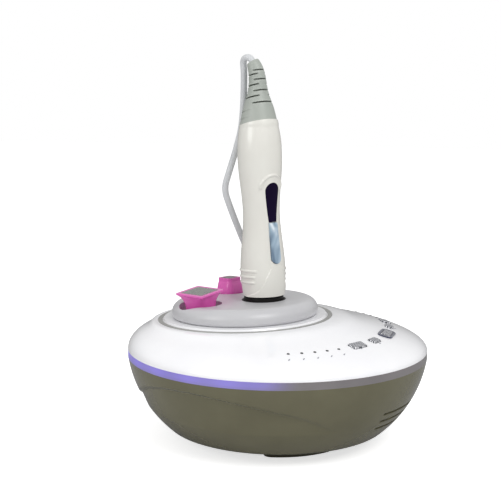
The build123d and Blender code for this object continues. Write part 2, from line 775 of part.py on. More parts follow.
def window_outline(grow=0.0):
    """The display window's drop shape on the grip's front elevation."""
    with BuildSketch() as outline:
        with Locations((0, window_top - window_top_width / 2)):
            Circle(window_top_width / 2 + grow)
        with Locations((0, window_bottom + window_rim)):
            Rectangle(window_bottom_width + 2 * grow, 2 * (window_rim + grow))
        make_hull()
    return outline.sketch_local


def button_outline(grow=0.0):
    """The button's leaf shape, its straight upper end just under the window."""
    with BuildSketch() as outline:
        with Locations((0, button_bottom + button_width / 2)):
            Circle(button_width / 2 + grow)
        with Locations((0, window_bottom - 3 * window_rim)):
            Rectangle(window_bottom_width + 2 * grow, 2 * (window_rim + grow))
        make_hull()
    return outline.sketch_local


with BuildPart() as grip_relief:
    with BuildSketch(grip_plane):
        with Locations((0, arch_lift)):
            add(window_outline(arch_gap + arch_width))
            add(window_outline(arch_gap), mode=Mode.SUBTRACT)
        with Locations((0, window_top - arch_drop)):
            Rectangle(60, 60, align=(Align.CENTER, Align.MIN), mode=Mode.INTERSECT)
    extrude(amount=30)
    for rib_height in rib_heights:
        with BuildSketch(hand_plane.offset(rib_height - rib_width / 2)):
            Circle(30)
            Circle(12, mode=Mode.SUBTRACT)
            Rectangle(60, rib_span, mode=Mode.INTERSECT)
        extrude(amount=rib_width)
    add(grip_form(-rib_proud), mode=Mode.INTERSECT)

with BuildPart() as grip_shell:
    add(grip_form())
    add(grip_relief.part)
    add(grip_form(hand_wall), mode=Mode.SUBTRACT)
    split(bisect_by=seam_plane, keep=Keep.BOTTOM)
    with BuildSketch(grip_plane):
        add(window_outline(hole_play))
    extrude(amount=30, mode=Mode.SUBTRACT)
    with BuildSketch(grip_plane):
        add(button_outline(key_gap))
    extrude(amount=30, mode=Mode.SUBTRACT)

with BuildPart() as handle_front_shell:
    add(grip_shell.part)
    split(bisect_by=grip_plane, keep=Keep.TOP)
finish(handle_front_shell, "handle_front_shell")

post_plane = Plane(origin=hand_plane.from_local_coords(Vector(0, board_back, 0)), x_dir=-hand_plane.x_dir,
                   z_dir=hand_plane.y_dir)
with BuildPart() as board_post_form:
    with BuildSketch(post_plane):
        with Locations(*[(0, height) for height in post_heights]):
            Circle(post_radius)
    extrude(amount=40)
    add(grip_form(hand_wall / 2), mode=Mode.INTERSECT)

with BuildPart() as handle_rear_shell:
    add(grip_shell.part)
    split(bisect_by=grip_plane, keep=Keep.BOTTOM)
    add(board_post_form.part)
    with BuildSketch(post_plane):
        with Locations(*[(0, height) for height in post_heights]):
            Circle(small_screw_radius + hole_play)
    extrude(amount=8, mode=Mode.SUBTRACT)
finish(handle_rear_shell, "handle_rear_shell")

with BuildPart() as display_window:
    with BuildSketch(grip_plane):
        add(window_outline())
    extrude(amount=30)
    add(grip_form(), mode=Mode.INTERSECT)
    add(grip_form(hand_wall), mode=Mode.SUBTRACT)
finish(display_window, "display_window")

board_front = -board_back + board_thickness
board_low = 14.0
board_high = 120.0
with BuildPart() as handle_board:
    with BuildSketch(grip_plane.offset(-board_back)):
        with Locations((0, (board_low + board_high) / 2)):
            Rectangle(board_width, board_high - board_low)
        with Locations(*[(0, height) for height in post_heights]):
            Circle(small_screw_radius + hole_play, mode=Mode.SUBTRACT)
    extrude(amount=board_thickness)
    with BuildSketch(grip_plane.offset(board_front)):
        with Locations((0, (window_top + window_bottom) / 2)):
            Rectangle(6, 24)
    extrude(amount=2.4)
finish(handle_board, "handle_board")

with BuildPart() as handle_switch:
    with BuildSketch(grip_plane.offset(board_front)):
        with Locations((0, switch_height + 1)):
            Rectangle(switch_size, switch_size)
    extrude(amount=switch_body - 0.4)
    with BuildSketch(grip_plane.offset(board_front)):
        with Locations((0, switch_height + 1)):
            Circle(switch_plunger_radius)
    extrude(amount=switch_body + 0.2)
finish(handle_switch, "handle_switch")

with BuildPart() as handle_screws:
    with BuildSketch(grip_plane.offset(board_front)):
        with Locations(*[(0, height) for height in post_heights]):
            Circle(2 * small_screw_radius)
    extrude(amount=1.4)
    with BuildSketch(grip_plane.offset(board_front)):
        with Locations(*[(0, height) for height in post_heights]):
            Circle(small_screw_radius)
    extrude(amount=-board_thickness - 6)
finish(handle_screws, "handle_screws")

nose_bottom = nose_gap - dock_depth - hand_raise
with BuildPart() as nose_collar:
    with BuildSketch(hand_plane.offset(nose_bottom)):
        Circle(nose_radius)
    extrude(amount=hand_foot - nose_bottom)
    chamfer(nose_collar.edges().group_by(SortBy.LENGTH)[-1].sort_by(Axis.Z)[0], 0.6)
    with BuildSketch(hand_plane.offset(hand_foot)):
        Circle(nose_plug_radius)
    extrude(amount=nose_plug_height - hand_foot)
    with BuildSketch(hand_plane.offset(nose_bottom + nose_floor)):
        Circle(nose_bore)
    extrude(amount=40, mode=Mode.SUBTRACT)
    with Locations(hand_plane.offset(nose_bottom)):
        with PolarLocations(pin_ring, 4):
            Cylinder(pin_radius + hole_play, 4 * nose_floor, mode=Mode.SUBTRACT)
finish(nose_collar, "nose_collar")

with BuildPart() as contact_pins:
    with Locations(hand_plane.offset(nose_bottom)):
        with PolarLocations(pin_ring, 4):
            Cylinder(pin_radius, nose_floor, align=(Align.CENTER, Align.CENTER, Align.MIN))
    with BuildSketch(hand_plane.offset(nose_bottom + nose_floor)):
        Circle(nose_bore - hole_play)
    extrude(amount=1.6)
finish(contact_pins, "contact_pins")


def boot_centre(height):
    """Where the boot's bending centre line stands at a height."""
    share = max(0.0, height - boot_bend_start) / (boot_tip - boot_bend_start)
    return boot_bend[0] * share**3, boot_bend[1] * share**3


def boot_plane(height):
    """The plane square to the boot's bending centre line at a height."""
    slope = 3 * max(0.0, height - boot_bend_start) ** 2 / (boot_tip - boot_bend_start) ** 3
    middle = hand_plane.from_local_coords(Vector(*boot_centre(height), height))
    ahead = hand_plane.from_local_coords(Vector(boot_bend[0] * slope, boot_bend[1] * slope, 1)) - hand_plane.origin
    return Plane(origin=middle, x_dir=hand_plane.x_dir, z_dir=ahead)


def leaning_plane(height, turn=0.0):
    """A plane across the boot at a height, leaning like the seam."""
    middle = hand_plane.from_local_coords(Vector(*boot_centre(height), height))
    across = Plane(origin=middle, x_dir=hand_plane.x_dir, z_dir=seam_plane.z_dir)
    return Plane(across.location * Location((0, 0, 0), (0, 0, turn)))


def boot_radius(height):
    """The boot's radius at a height, between its sections."""
    for (low, low_radius), (high, high_radius) in zip(boot_radii, boot_radii[1:]):
        if height <= high:
            return low_radius + (high_radius - low_radius) * (height - low) / (high - low)
    return boot_radii[-1][1]


with BuildPart() as strain_relief:
    for height in (seam_height - seam_drop,) + tuple(height for height, radius in boot_radii):
        with BuildSketch(boot_plane(height)):
            Circle(boot_radius(height))
    loft()
    split(bisect_by=seam_plane, keep=Keep.TOP)
    with BuildSketch(hand_plane.offset(seam_height - boot_plug_depth)):
        Circle(boot_plug_radius)
    extrude(amount=boot_plug_depth + 4)
    for height in groove_levels:
        with BuildSketch(leaning_plane(height)):
            Circle(boot_radius(height) + seam_drop)
            Circle(boot_radius(height) - groove_size / 2, mode=Mode.SUBTRACT)
        extrude(amount=groove_size, mode=Mode.SUBTRACT)
    for index, height in enumerate(slot_levels):
        radius = boot_radius(height)
        reach = radius * (1 - slot_share) + 2
        with BuildSketch(leaning_plane(height, 90 * (index % 2)).offset(-slot_height / 2)):
            with Locations((0, slot_share * radius + reach / 2), (0, -slot_share * radius - reach / 2)):
                Rectangle(2 * radius + 4, reach)
        extrude(amount=slot_height, mode=Mode.SUBTRACT)
finish(strain_relief, "strain_relief")

button_inner = hand_wall + 0.3
button_post_radius = 2.5
with BuildPart() as button_post:
    with BuildSketch(grip_plane.offset(board_front + switch_body + 0.2 + button_travel + 0.3)):
        with Locations((0, switch_height + 1)):
            Circle(button_post_radius)
    extrude(amount=30)
    add(grip_form(button_inner + 0.6), mode=Mode.INTERSECT)

with BuildPart() as button_cap:
    with BuildSketch(grip_plane):
        add(button_outline())
    extrude(amount=30)
    add(grip_form(-button_proud), mode=Mode.INTERSECT)
    add(grip_form(button_inner + button_flange_thickness), mode=Mode.SUBTRACT)

with BuildPart() as handle_button:
    with BuildSketch(grip_plane):
        add(button_outline(button_edge))
    extrude(amount=30)
    add(grip_form(button_inner), mode=Mode.INTERSECT)
    add(grip_form(button_inner + button_flange_thickness), mode=Mode.SUBTRACT)
    add(button_cap.part)
    add(button_post.part)
finish(handle_button, "handle_button")

# ---- Treatment heads, parked in the tray -------------------------------------------------------------
large_head_plane = placed(large_recess_plane, 0, 0, large_head_turn).offset(-head_recess_depth)
small_head_plane = placed(small_recess_plane, 0, 0, small_head_turn).offset(-head_recess_depth)


def make_head(name, base_plane, sections, height, plate_width, plate_corner):
    """Makes a head's moulded body, its grid plate and the contact ring under it."""
    top_width, top_corner = sections[-1][1:]
    plate_floor = height + plate_proud - plate_thickness
    with BuildPart() as head:
        for level, width, corner in sections:
            with BuildSketch(base_plane.offset(level)):
                RectangleRounded(width, width, corner)
        loft()
        with BuildSketch(base_plane.offset(sections[-1][0])):
            RectangleRounded(top_width, top_width, top_corner)
        extrude(amount=height - sections[-1][0])
        with BuildSketch(base_plane.offset(plate_floor)):
            RectangleRounded(plate_width + 2 * hole_play, plate_width + 2 * hole_play, plate_corner)
        extrude(amount=height, mode=Mode.SUBTRACT)
        with BuildSketch(base_plane):
            Circle(contact_outer + hole_play)
            Circle(contact_outer - contact_width - hole_play, mode=Mode.SUBTRACT)
        extrude(amount=contact_thickness, mode=Mode.SUBTRACT)
    finish(head, name)
    with BuildPart() as plate:
        with BuildSketch(base_plane.offset(plate_floor)):
            RectangleRounded(plate_width, plate_width, plate_corner)
        extrude(amount=plate_thickness)
    finish(plate, name + "_plate")
    with BuildPart() as contact:
        with BuildSketch(base_plane.offset(0.2)):
            Circle(contact_outer)
            Circle(contact_outer - contact_width, mode=Mode.SUBTRACT)
        extrude(amount=contact_thickness - 0.2)
    finish(contact, name + "_contact")


make_head("large_head", large_head_plane, large_head_sections, head_recess_depth + large_head_rise, large_plate, 1.0)
make_head("small_head", small_head_plane, small_head_sections, head_recess_depth + small_head_rise, small_plate, 2.0)

# ---- Hand piece cord: tube, put-away coil, tail and plug ---------------------------------------------
plug_plane = socket_plane.offset(socket_flange_thickness - socket_seat)
plug_end = plug_plane.offset(plug_length + plug_relief_length)
with BuildPart() as cord_plug:
    with Locations(plug_plane):
        Cylinder(plug_pin_radius, 9, align=(Align.CENTER, Align.CENTER, Align.MAX))
        Cylinder(plug_radius, plug_length, align=(Align.CENTER, Align.CENTER, Align.MIN))
    with Locations(plug_plane.offset(plug_length)):
        Cone(plug_radius - 1.5, cord_radius + 0.5, plug_relief_length, align=(Align.CENTER, Align.CENTER, Align.MIN))
finish(cord_plug, "cord_plug")

boot_end = boot_plane(boot_tip)
coil_side = Vector(cos(radians(coil_join_turn)), sin(radians(coil_join_turn)), 0)
coil_along = Vector(sin(radians(coil_join_turn)), -cos(radians(coil_join_turn)), 0)
coil_join = Vector(*coil_place, 0) + coil_side * (coil_mid_radius + cord_radius)
coil_low = coil_join - coil_along * (coil_stub + fit_gap) + Vector(0, 0, cord_radius)
coil_high = coil_join + coil_along * coil_stub + Vector(0, 0, 3 * cord_radius)

lead_route = [boot_end.origin, boot_end.offset(3.4).origin, (1.9, 29.9, 341.7), (3.9, 33.5, 340.8),
              (5.7, 35.6, 337.8), (6.6, 35.0, 330.1), (6.7, 35.0, 316.3), (7.8, 36.0, 296.7), (9.2, 38.4, 276.1),
              (7.8, 44.6, 254.3), (5.6, 49.0, 238.4), (4.9, 53.6, 223.3), (8.9, 49.1, 206.6),
              (17.9, 44.0, 185.5), (34.7, 40.5, 163.0), (56.0, 38.6, 143.7), (71.6, 38.8, 128.0),
              (92.0, 44.2, 115.5), (112.3, 49.6, 106.0), (132.3, 55.9, 94.0), (148.4, 61.5, 78.0),
              (158.1, 65.6, 58.0), (162.5, 64.9, 36.0), (167.2, 52.7, 17.5), (172.7, 34.5, 3.0), coil_low]
tail_route = [plug_end.origin, plug_end.offset(20.5).origin, (179.3, -83.3, 9.0), (194.6, -70.8, 3.0),
              (199.0, -48.4, 9.0), coil_high]


def make_cord(name, route):
    """Sweeps a plain tube along straight runs joined by tangent arcs, and prints the arcs' radii."""
    points = [Vector(point) for point in route]
    radii = []
    for before, here, after in zip(points, points[1:], points[2:]):
        turn = (here - before).get_angle(after - here)
        radii.append(0.45 * min((here - before).length, (after - here).length) / tan(radians(turn / 2)))
    with BuildPart() as tube:
        with BuildLine() as path:
            FilletPolyline(*points, radius=radii)
        with BuildSketch(Plane(origin=points[0], z_dir=points[1] - points[0])):
            Circle(cord_radius)
        sweep(path=path.line)
    finish(tube, name)
    length = sum(edge.length for edge in path.line.edges())
    print(name, "length", round(length, 1), "volume share", round(tube.part.volume / (length * cord_section), 4),
          "radii", [round(radius, 1) for radius in radii])
    return length


cord_section = Circle(cord_radius).area
lead_length = make_cord("cord_lead", lead_route)
tail_length = make_cord("cord_tail", tail_route)

coil_plane = Plane(origin=(*coil_place, 0))
with BuildPart() as cord_coil:
    with BuildSketch(coil_plane):
        Circle(coil_mid_radius + 2 * cord_radius + coil_slack)
        Circle(coil_mid_radius - 2 * cord_radius - coil_slack, mode=Mode.SUBTRACT)
    extrude(amount=4 * cord_radius)
    fillet(cord_coil.edges(), cord_radius / 2)
    for end, level in ((-1, cord_radius), (1, 3 * cord_radius)):
        with BuildSketch(Plane(origin=coil_join + Vector(0, 0, level), z_dir=coil_along * end)):
            Circle(cord_radius - coil_slack)
        extrude(amount=coil_stub)
finish(cord_coil, "cord_coil")
coil_turns = 4
coil_length = 2 * 3.14159 * coil_mid_radius * coil_turns
print("cord length", round(lead_length + tail_length + coil_length + 2 * coil_stub, 1))
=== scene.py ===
import math

import bmesh
import bpy
import numpy as np
from mathutils import Matrix, Vector
from mathutils.bvhtree import BVHTree
from mathutils.geometry import convex_hull_2d


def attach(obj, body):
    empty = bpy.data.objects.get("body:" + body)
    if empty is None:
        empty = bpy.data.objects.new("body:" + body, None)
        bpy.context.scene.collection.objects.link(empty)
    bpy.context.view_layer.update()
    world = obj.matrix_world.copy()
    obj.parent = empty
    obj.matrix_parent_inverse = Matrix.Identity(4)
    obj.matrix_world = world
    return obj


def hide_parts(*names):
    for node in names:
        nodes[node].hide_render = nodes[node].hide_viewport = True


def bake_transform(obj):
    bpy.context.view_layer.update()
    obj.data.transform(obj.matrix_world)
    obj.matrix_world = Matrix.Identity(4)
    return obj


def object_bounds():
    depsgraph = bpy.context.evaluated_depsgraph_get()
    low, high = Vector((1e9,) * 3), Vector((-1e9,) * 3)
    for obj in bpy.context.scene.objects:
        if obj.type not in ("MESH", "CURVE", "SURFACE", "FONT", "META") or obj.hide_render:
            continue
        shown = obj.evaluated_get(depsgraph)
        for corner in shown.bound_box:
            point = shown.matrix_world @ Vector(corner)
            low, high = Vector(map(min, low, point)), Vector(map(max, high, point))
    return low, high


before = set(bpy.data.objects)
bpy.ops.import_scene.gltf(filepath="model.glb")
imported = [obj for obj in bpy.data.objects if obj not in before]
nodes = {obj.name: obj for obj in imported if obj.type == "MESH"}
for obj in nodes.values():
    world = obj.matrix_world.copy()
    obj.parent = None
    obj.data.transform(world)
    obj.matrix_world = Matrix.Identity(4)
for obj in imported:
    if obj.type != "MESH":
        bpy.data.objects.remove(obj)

cadLow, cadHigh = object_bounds()
scene = bpy.context.scene
print("frame loaded:", len(nodes), "nodes")

# all lengths are in metres and all angles in degrees
cameraSetup = {
    "place": (-0.9304, -0.2936, 0.3038),
    "heading": 18.959,  # of the view, from +x
    "dip": 7.825,
    "roll": 0.205,
    "lens": 78.62,  # mm, as is the film
    "film": 36,
}


def addObject(name, data):
    made = bpy.data.objects.new(name, data)
    scene.collection.objects.link(made)
    return made


def aimedCamera(setup):
    heading, dip, roll = (math.radians(setup[angle]) for angle in ("heading", "dip", "roll"))
    forward = Vector((math.cos(heading) * math.cos(dip), math.sin(heading) * math.cos(dip), -math.sin(dip)))
    right = Vector((math.sin(heading), -math.cos(heading), 0))
    up = right.cross(forward)
    turnedRight = right * math.cos(roll) + up * math.sin(roll)
    turnedUp = up * math.cos(roll) - right * math.sin(roll)
    data = bpy.data.cameras.new("studioCamera")
    data.lens = setup["lens"]
    data.sensor_width = setup["film"]
    camera = addObject("studioCamera", data)
    place = Matrix((turnedRight, turnedUp, -forward)).transposed().to_4x4()
    place.translation = Vector(setup["place"])
    camera.matrix_world = place
    return camera


scene.camera = aimedCamera(cameraSetup)
scene.view_settings.view_transform = "Standard"
print("camera ready")


def meshObject(name, points, faces):
    mesh = bpy.data.meshes.new(name)
    mesh.from_pydata(points, [], faces)
    return addObject(name, mesh)


def shapeObject(name, shape):
    # turns a finished bmesh into an object
    mesh = bpy.data.meshes.new(name)
    shape.to_mesh(mesh)
    shape.free()
    return addObject(name, mesh)


def smoothByAngle(target, degrees):
    mesh = target.data
    mesh.polygons.foreach_set("use_smooth", [True] * len(mesh.polygons))
    mesh.set_sharp_from_angle(angle=math.radians(degrees))


def softStep(value):
    # runs from 0 to 1 with level ends, for one number or an array
    value = np.clip(value, 0, 1)
    return value * value * (3 - 2 * value)


def around(radius, turn, height):
    return Vector((radius * math.cos(turn), radius * math.sin(turn), height))


def ringFaces(ring, above, columns, first=0):
    # the quads between two rings of points
    low, high = first + ring * columns, first + above * columns
    return [(low + column, low + (column + 1) % columns, high + (column + 1) % columns, high + column)
            for column in range(columns)]


# the cord: from the boot's tip down behind the base, round the coil and up to the plug
cordSetup = {
    "radius": 0.003,
    "sides": 16,
    "smoothAngle": 50,
    "coilPlace": (0.1512, -0.0173, 0),
    "outerRadius": 0.036,
    "innerRadius": 0.030,
    "join": 17.5,  # where on the coil the lead arrives
    "turns": 4,
    "pointsPerTurn": 24,
    "changes": (305, 665, 1025),  # where the coil starts inwards, upwards and outwards again
    "changeSpan": 55,
    "tuck": 0.0022,
    "leaving": 1345,
    "leavingSpan": 95,
    "leavingOut": 0.0058,
    "closest": 0.0003,  # points nearer to each other than this are dropped
}
leadPoints = [
    (0.0005, 0.0247, 0.3374), (0.0007, 0.0264, 0.3403), (0.0019, 0.0299, 0.3417), (0.0039, 0.0335, 0.3408),
    (0.0057, 0.0356, 0.3378), (0.0066, 0.0350, 0.3301), (0.0067, 0.0350, 0.3163), (0.0078, 0.0360, 0.2967),
    (0.0092, 0.0384, 0.2761), (0.0078, 0.0446, 0.2543), (0.0056, 0.0490, 0.2384), (0.0049, 0.0536, 0.2233),
    (0.0089, 0.0491, 0.2066), (0.0179, 0.0440, 0.1855), (0.0347, 0.0405, 0.1630), (0.0560, 0.0386, 0.1437),
    (0.0716, 0.0388, 0.1280), (0.0920, 0.0442, 0.1155), (0.1123, 0.0496, 0.1060), (0.1323, 0.0559, 0.0940),
    (0.1484, 0.0615, 0.0780), (0.1581, 0.0656, 0.0580), (0.1625, 0.0649, 0.0360), (0.1672, 0.0527, 0.0175),
    (0.1727, 0.0345, 0.0030), (0.17886, 0.01470, 0.0030),
]
tailPoints = [
    (0.1955, -0.0240, 0.0090), (0.1975, -0.0484, 0.0090), (0.1946, -0.0708, 0.0031),
    (0.1793, -0.0833, 0.0090), (0.16081, -0.08551, 0.01744), (0.14464, -0.07690, 0.02663),
]


def coilPoints(setup):
    # four turns: outer low, inner low, inner high, outer high
    made = []
    inset = setup["outerRadius"] - setup["innerRadius"]
    stand = 2 / (1 + math.cos(math.pi / setup["pointsPerTurn"]))  # the smooth line runs inside its points
    for step in range(setup["turns"] * setup["pointsPerTurn"] + 1):
        turned = 360 * step / setup["pointsPerTurn"]
        inwards, upwards, outwards = (softStep((turned - start) / setup["changeSpan"])
                                      for start in setup["changes"])
        leaving = softStep((turned - setup["leaving"]) / setup["leavingSpan"])
        radius = (setup["outerRadius"] - inset * (inwards - outwards) + leaving * setup["leavingOut"]
                  - math.sin(math.pi * upwards) * setup["tuck"])
        height = setup["radius"] * (1 + 2 * upwards)
        turn = math.radians(setup["join"] - turned)
        made.append(Vector(setup["coilPlace"]) + around(radius * stand, turn, height))
    return made


def cordLine(points, closest):
    # points read back from one smooth line that has the route as its control points
    curve = bpy.data.curves.new("cordLine", "CURVE")
    curve.dimensions = "3D"
    spline = curve.splines.new("NURBS")
    spline.points.add(len(points) - 1)
    for made, place in zip(spline.points, points):
        made.co = (*place, 1)
    spline.order_u = 3
    spline.use_endpoint_u = True
    spline.resolution_u = 8
    holder = addObject("cordLine", curve)
    read = bpy.data.meshes.new_from_object(holder)
    line = []
    for vertex in read.vertices:
        if not line or (vertex.co - line[-1]).length > closest:
            line.append(vertex.co.copy())
    bpy.data.objects.remove(holder)
    bpy.data.meshes.remove(read)
    return line


def sweptTube(name, path, radius, sides):
    # a closed round tube along a path, its rings carried along without twist
    side = (path[1] - path[0]).orthogonal().normalized()
    points, faces = [], []
    for index, place in enumerate(path):
        before = path[max(index - 1, 0)]
        after = path[min(index + 1, len(path) - 1)]
        direction = (after - before).normalized()
        side = (side - direction * side.dot(direction)).normalized()
        other = direction.cross(side)
        for step in range(sides):
            turn = 2 * math.pi * step / sides
            points.append(place + (side * math.cos(turn) + other * math.sin(turn)) * radius)
    for ring in range(len(path) - 1):
        faces += ringFaces(ring, ring + 1, sides)
    last = (len(path) - 1) * sides
    faces += [tuple(reversed(range(sides))), tuple(range(last, last + sides))]
    return meshObject(name, points, faces)


cordPath = cordLine(leadPoints + coilPoints(cordSetup) + tailPoints, cordSetup["closest"])
cord = sweptTube("handPieceCord", cordPath, cordSetup["radius"], cordSetup["sides"])
smoothByAngle(cord, cordSetup["smoothAngle"])
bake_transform(cord)
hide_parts("cord_lead", "cord_tail", "cord_coil")
print("cord laid:", round(sum((b - a).length for a, b in zip(cordPath, cordPath[1:])), 4), "m")

# the bowl: one dense turned skin with a scoop on each side and vent slots, given its wall, then cut at the
# rear for the connector panel and the socket
bowlSetup = {
    "arcCentre": (0.0317, 0.0929),  # radius and height
    "arcRadius": 0.1046,
    "cornerHeight": 0.013,
    "flatRadius": 0.0587,
    "cornerPull": 0.0072,
    "floorPull": (0.00576, 0.00144),
    "floorLevel": 0.0035,
    "top": 0.0765,
    "wall": 0.0028,
    "columns": 440,
    "sideRows": 78,
    "cornerRows": 14,
    "floorRadii": (0.012, 0.030, 0.046),
    "ventLevels": (0.0436, 0.0364, 0.0292),
    "ventHeight": 0.0022,
    "ventHalfArc": 26.25,
    "scoopRadius": 0.18,
    "scoopSpan": (0.035, 0.070),
    "scoopDepths": (0.0002, 0.0030),  # at the foot and at the top of the span
    "creaseWidth": 0.0036,
    "crease": ((-0.080, 0.0350), (-0.0605, 0.0492), (-0.0274, 0.0588), (0.007, 0.0650),
               (0.040, 0.0673), (0.080, 0.0620), (0.108, 0.0460), (0.116, 0.0350)),  # y and height
    "socketSpot": (0.1100, -0.0585, 0.0460),
    "socketAim": (0.80, -0.4256, -0.42),
    "socketHole": (0.0102, 0.03),  # radius and depth
    "socketPad": 0.0145,  # the scoop stays this far from the socket
    "padSoftness": 0.002,
    "panelSpot": (0, 0.132, 0.055),
    "panelSize": (0.0544, 0.04, 0.0344),
    "smoothAngle": 32,
}


def bowlRadius(setup, height):
    centre, level = setup["arcCentre"]
    return centre + math.sqrt(setup["arcRadius"] ** 2 - (height - level) ** 2)


def creaseHeight(knots, across):
    # a smooth line through the knots, by the usual four-point blend, and below everything outside them
    if across <= knots[0][0] or across >= knots[-1][0]:
        return -1.0
    spot = max(index for index in range(len(knots) - 1) if knots[index][0] <= across)
    before = knots[max(spot - 1, 0)]
    here, after = knots[spot], knots[spot + 1]
    beyond = knots[min(spot + 2, len(knots) - 1)]
    width = after[0] - here[0]
    share = (across - here[0]) / width
    slopeIn = (after[1] - before[1]) / (after[0] - before[0]) * width
    slopeOut = (beyond[1] - here[1]) / (beyond[0] - here[0]) * width
    climb = 3 * share ** 2 - 2 * share ** 3
    return ((1 - climb) * here[1] + climb * after[1]
            + (share ** 3 - 2 * share ** 2 + share) * slopeIn + (share ** 3 - share ** 2) * slopeOut)


def scoopDepth(setup, place):
    # how far the side scoop takes the skin in at a place on the round form
    low, high = setup["scoopSpan"]
    if place.z <= low or place.z >= high:
        return 0.0
    fromSocket = (place - Vector(setup["socketSpot"])).length
    weight = softStep((creaseHeight(setup["crease"], place.y) - place.z) / setup["creaseWidth"] + 0.5)
    weight *= softStep((fromSocket - setup["socketPad"]) / setup["padSoftness"])
    if weight <= 0:
        return 0.0
    lowSide = bowlRadius(setup, low) - setup["scoopDepths"][0]
    highSide = bowlRadius(setup, high) - setup["scoopDepths"][1]
    share = (place.z - low) / (high - low)
    chord = math.hypot(high - low, highSide - lowSide)
    sag = share * (1 - share) * chord * (high - low) / (2 * setup["scoopRadius"])
    return max(0.0, bowlRadius(setup, place.z) - (lowSide + (highSide - lowSide) * share + sag)) * weight


def bowlRows(setup):
    # (radius, height) of every ring of the skin, from the middle of the floor up to the rim
    rows = [(radius, setup["floorLevel"]) for radius in setup["floorRadii"]]
    high = setup["cornerHeight"]
    centre, level = setup["arcCentre"]
    top = Vector((bowlRadius(setup, high), high))
    foot = Vector((setup["flatRadius"], setup["floorLevel"]))
    topPull = top + Vector((high - level, centre - top[0])) / setup["arcRadius"] * setup["cornerPull"]
    footPull = foot + Vector(setup["floorPull"])
    for step in range(setup["cornerRows"]):
        share = step / setup["cornerRows"]
        near = 1 - share
        place = (foot * near ** 3 + footPull * 3 * near ** 2 * share + topPull * 3 * near * share ** 2
                 + top * share ** 3)
        rows.append((place[0], place[1]))
    edges = [level + side * setup["ventHeight"] / 2 for level in setup["ventLevels"] for side in (-1, 1)]
    gap = (setup["top"] - high) / setup["sideRows"]
    levels = [high + gap * step for step in range(setup["sideRows"] + 1)]
    levels = [level for level in levels if min(abs(level - edge) for edge in edges) > gap * 0.4] + edges
    return rows + [(bowlRadius(setup, level), level) for level in sorted(levels)]


def bowlSkin(setup):
    rows = bowlRows(setup)
    columns = setup["columns"]
    points = [(0, 0, setup["floorLevel"])]
    for radius, height in rows:
        for column in range(columns):
            turn = 2 * math.pi * column / columns - math.pi / 2
            place = around(radius, turn, height)
            points.append(place - around(scoopDepth(setup, place), turn, 0))
    faces = [(0, 1 + (column + 1) % columns, 1 + column) for column in range(columns)]
    slotHalf = round(setup["ventHalfArc"] / 360 * columns)
    for row in range(len(rows) - 1):
        middle = (rows[row][1] + rows[row + 1][1]) / 2
        vented = any(abs(middle - level) < setup["ventHeight"] / 2 for level in setup["ventLevels"])
        band = ringFaces(row, row + 1, columns, first=1)
        faces += band[slotHalf:columns - slotHalf] if vented else band
    return meshObject("bowlSkin", points, faces)


def applyModifiers(target):
    # bakes a piece's modifiers into its mesh
    graph = bpy.context.evaluated_depsgraph_get()
    made = bpy.data.meshes.new_from_object(target.evaluated_get(graph))
    target.modifiers.clear()
    old = target.data
    target.data = made
    bpy.data.meshes.remove(old)


def boxCutter(name, place, size):
    shape = bmesh.new()
    bmesh.ops.create_cube(shape, size=1)
    bmesh.ops.scale(shape, vec=size, verts=shape.verts)
    bmesh.ops.translate(shape, vec=place, verts=shape.verts)
    return shapeObject(name, shape)


def roundCutter(name, place, aim, radius, depth):
    shape = bmesh.new()
    turned = Vector(aim).to_track_quat("Z", "Y").to_matrix()
    bmesh.ops.create_cone(shape, cap_ends=True, segments=48, radius1=radius, radius2=radius, depth=depth)
    bmesh.ops.rotate(shape, cent=(0, 0, 0), matrix=turned, verts=shape.verts)
    bmesh.ops.translate(shape, vec=place, verts=shape.verts)
    return shapeObject(name, shape)


def cutWith(target, tools):
    for tool in tools:
        cut = target.modifiers.new("cut", "BOOLEAN")
        cut.operation = "DIFFERENCE"
        cut.solver = "EXACT"
        cut.object = tool
    applyModifiers(target)
    for tool in tools:
        mesh = tool.data
        bpy.data.objects.remove(tool)
        bpy.data.meshes.remove(mesh)


bowl = bowlSkin(bowlSetup)
wall = bowl.modifiers.new("wall", "SOLIDIFY")
wall.thickness = bowlSetup["wall"]
wall.offset = -1
applyModifiers(bowl)
cutWith(bowl, [
    boxCutter("panelWindow", bowlSetup["panelSpot"], bowlSetup["panelSize"]),
    roundCutter("socketWell", bowlSetup["socketSpot"], bowlSetup["socketAim"], *bowlSetup["socketHole"]),
])
smoothByAngle(bowl, bowlSetup["smoothAngle"])
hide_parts("bowl")
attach(bowl, "base")
print("bowl turned:", len(bowl.data.polygons), "faces")

footSetup = {
    "directions": (-30, 60, 120, 216),
    "arc": 44,
    "ring": 0.063,
    "width": 0.014,
    "top": 0.0056,
    "softening": 0.0008,
    "smoothAngle": 40,
    "arcSteps": 24,
    "endSteps": 12,
}


def padOutline(setup, direction):
    # (radius, turn) of the points round one curved pad with round ends
    ring, half = setup["ring"], setup["width"] / 2
    middle, reach = math.radians(direction), math.radians(setup["arc"] / 2)
    steps = setup["arcSteps"]
    bends = [math.pi * step / setup["endSteps"] for step in range(1, setup["endSteps"])]
    line = []
    for side in (1, -1):
        line += [(ring + side * half, middle + side * reach * (2 * step / steps - 1))
                 for step in range(steps + 1)]
        line += [(ring + side * half * math.cos(bend),
                  middle + side * (reach + half * math.sin(bend) / ring)) for bend in bends]
    return line


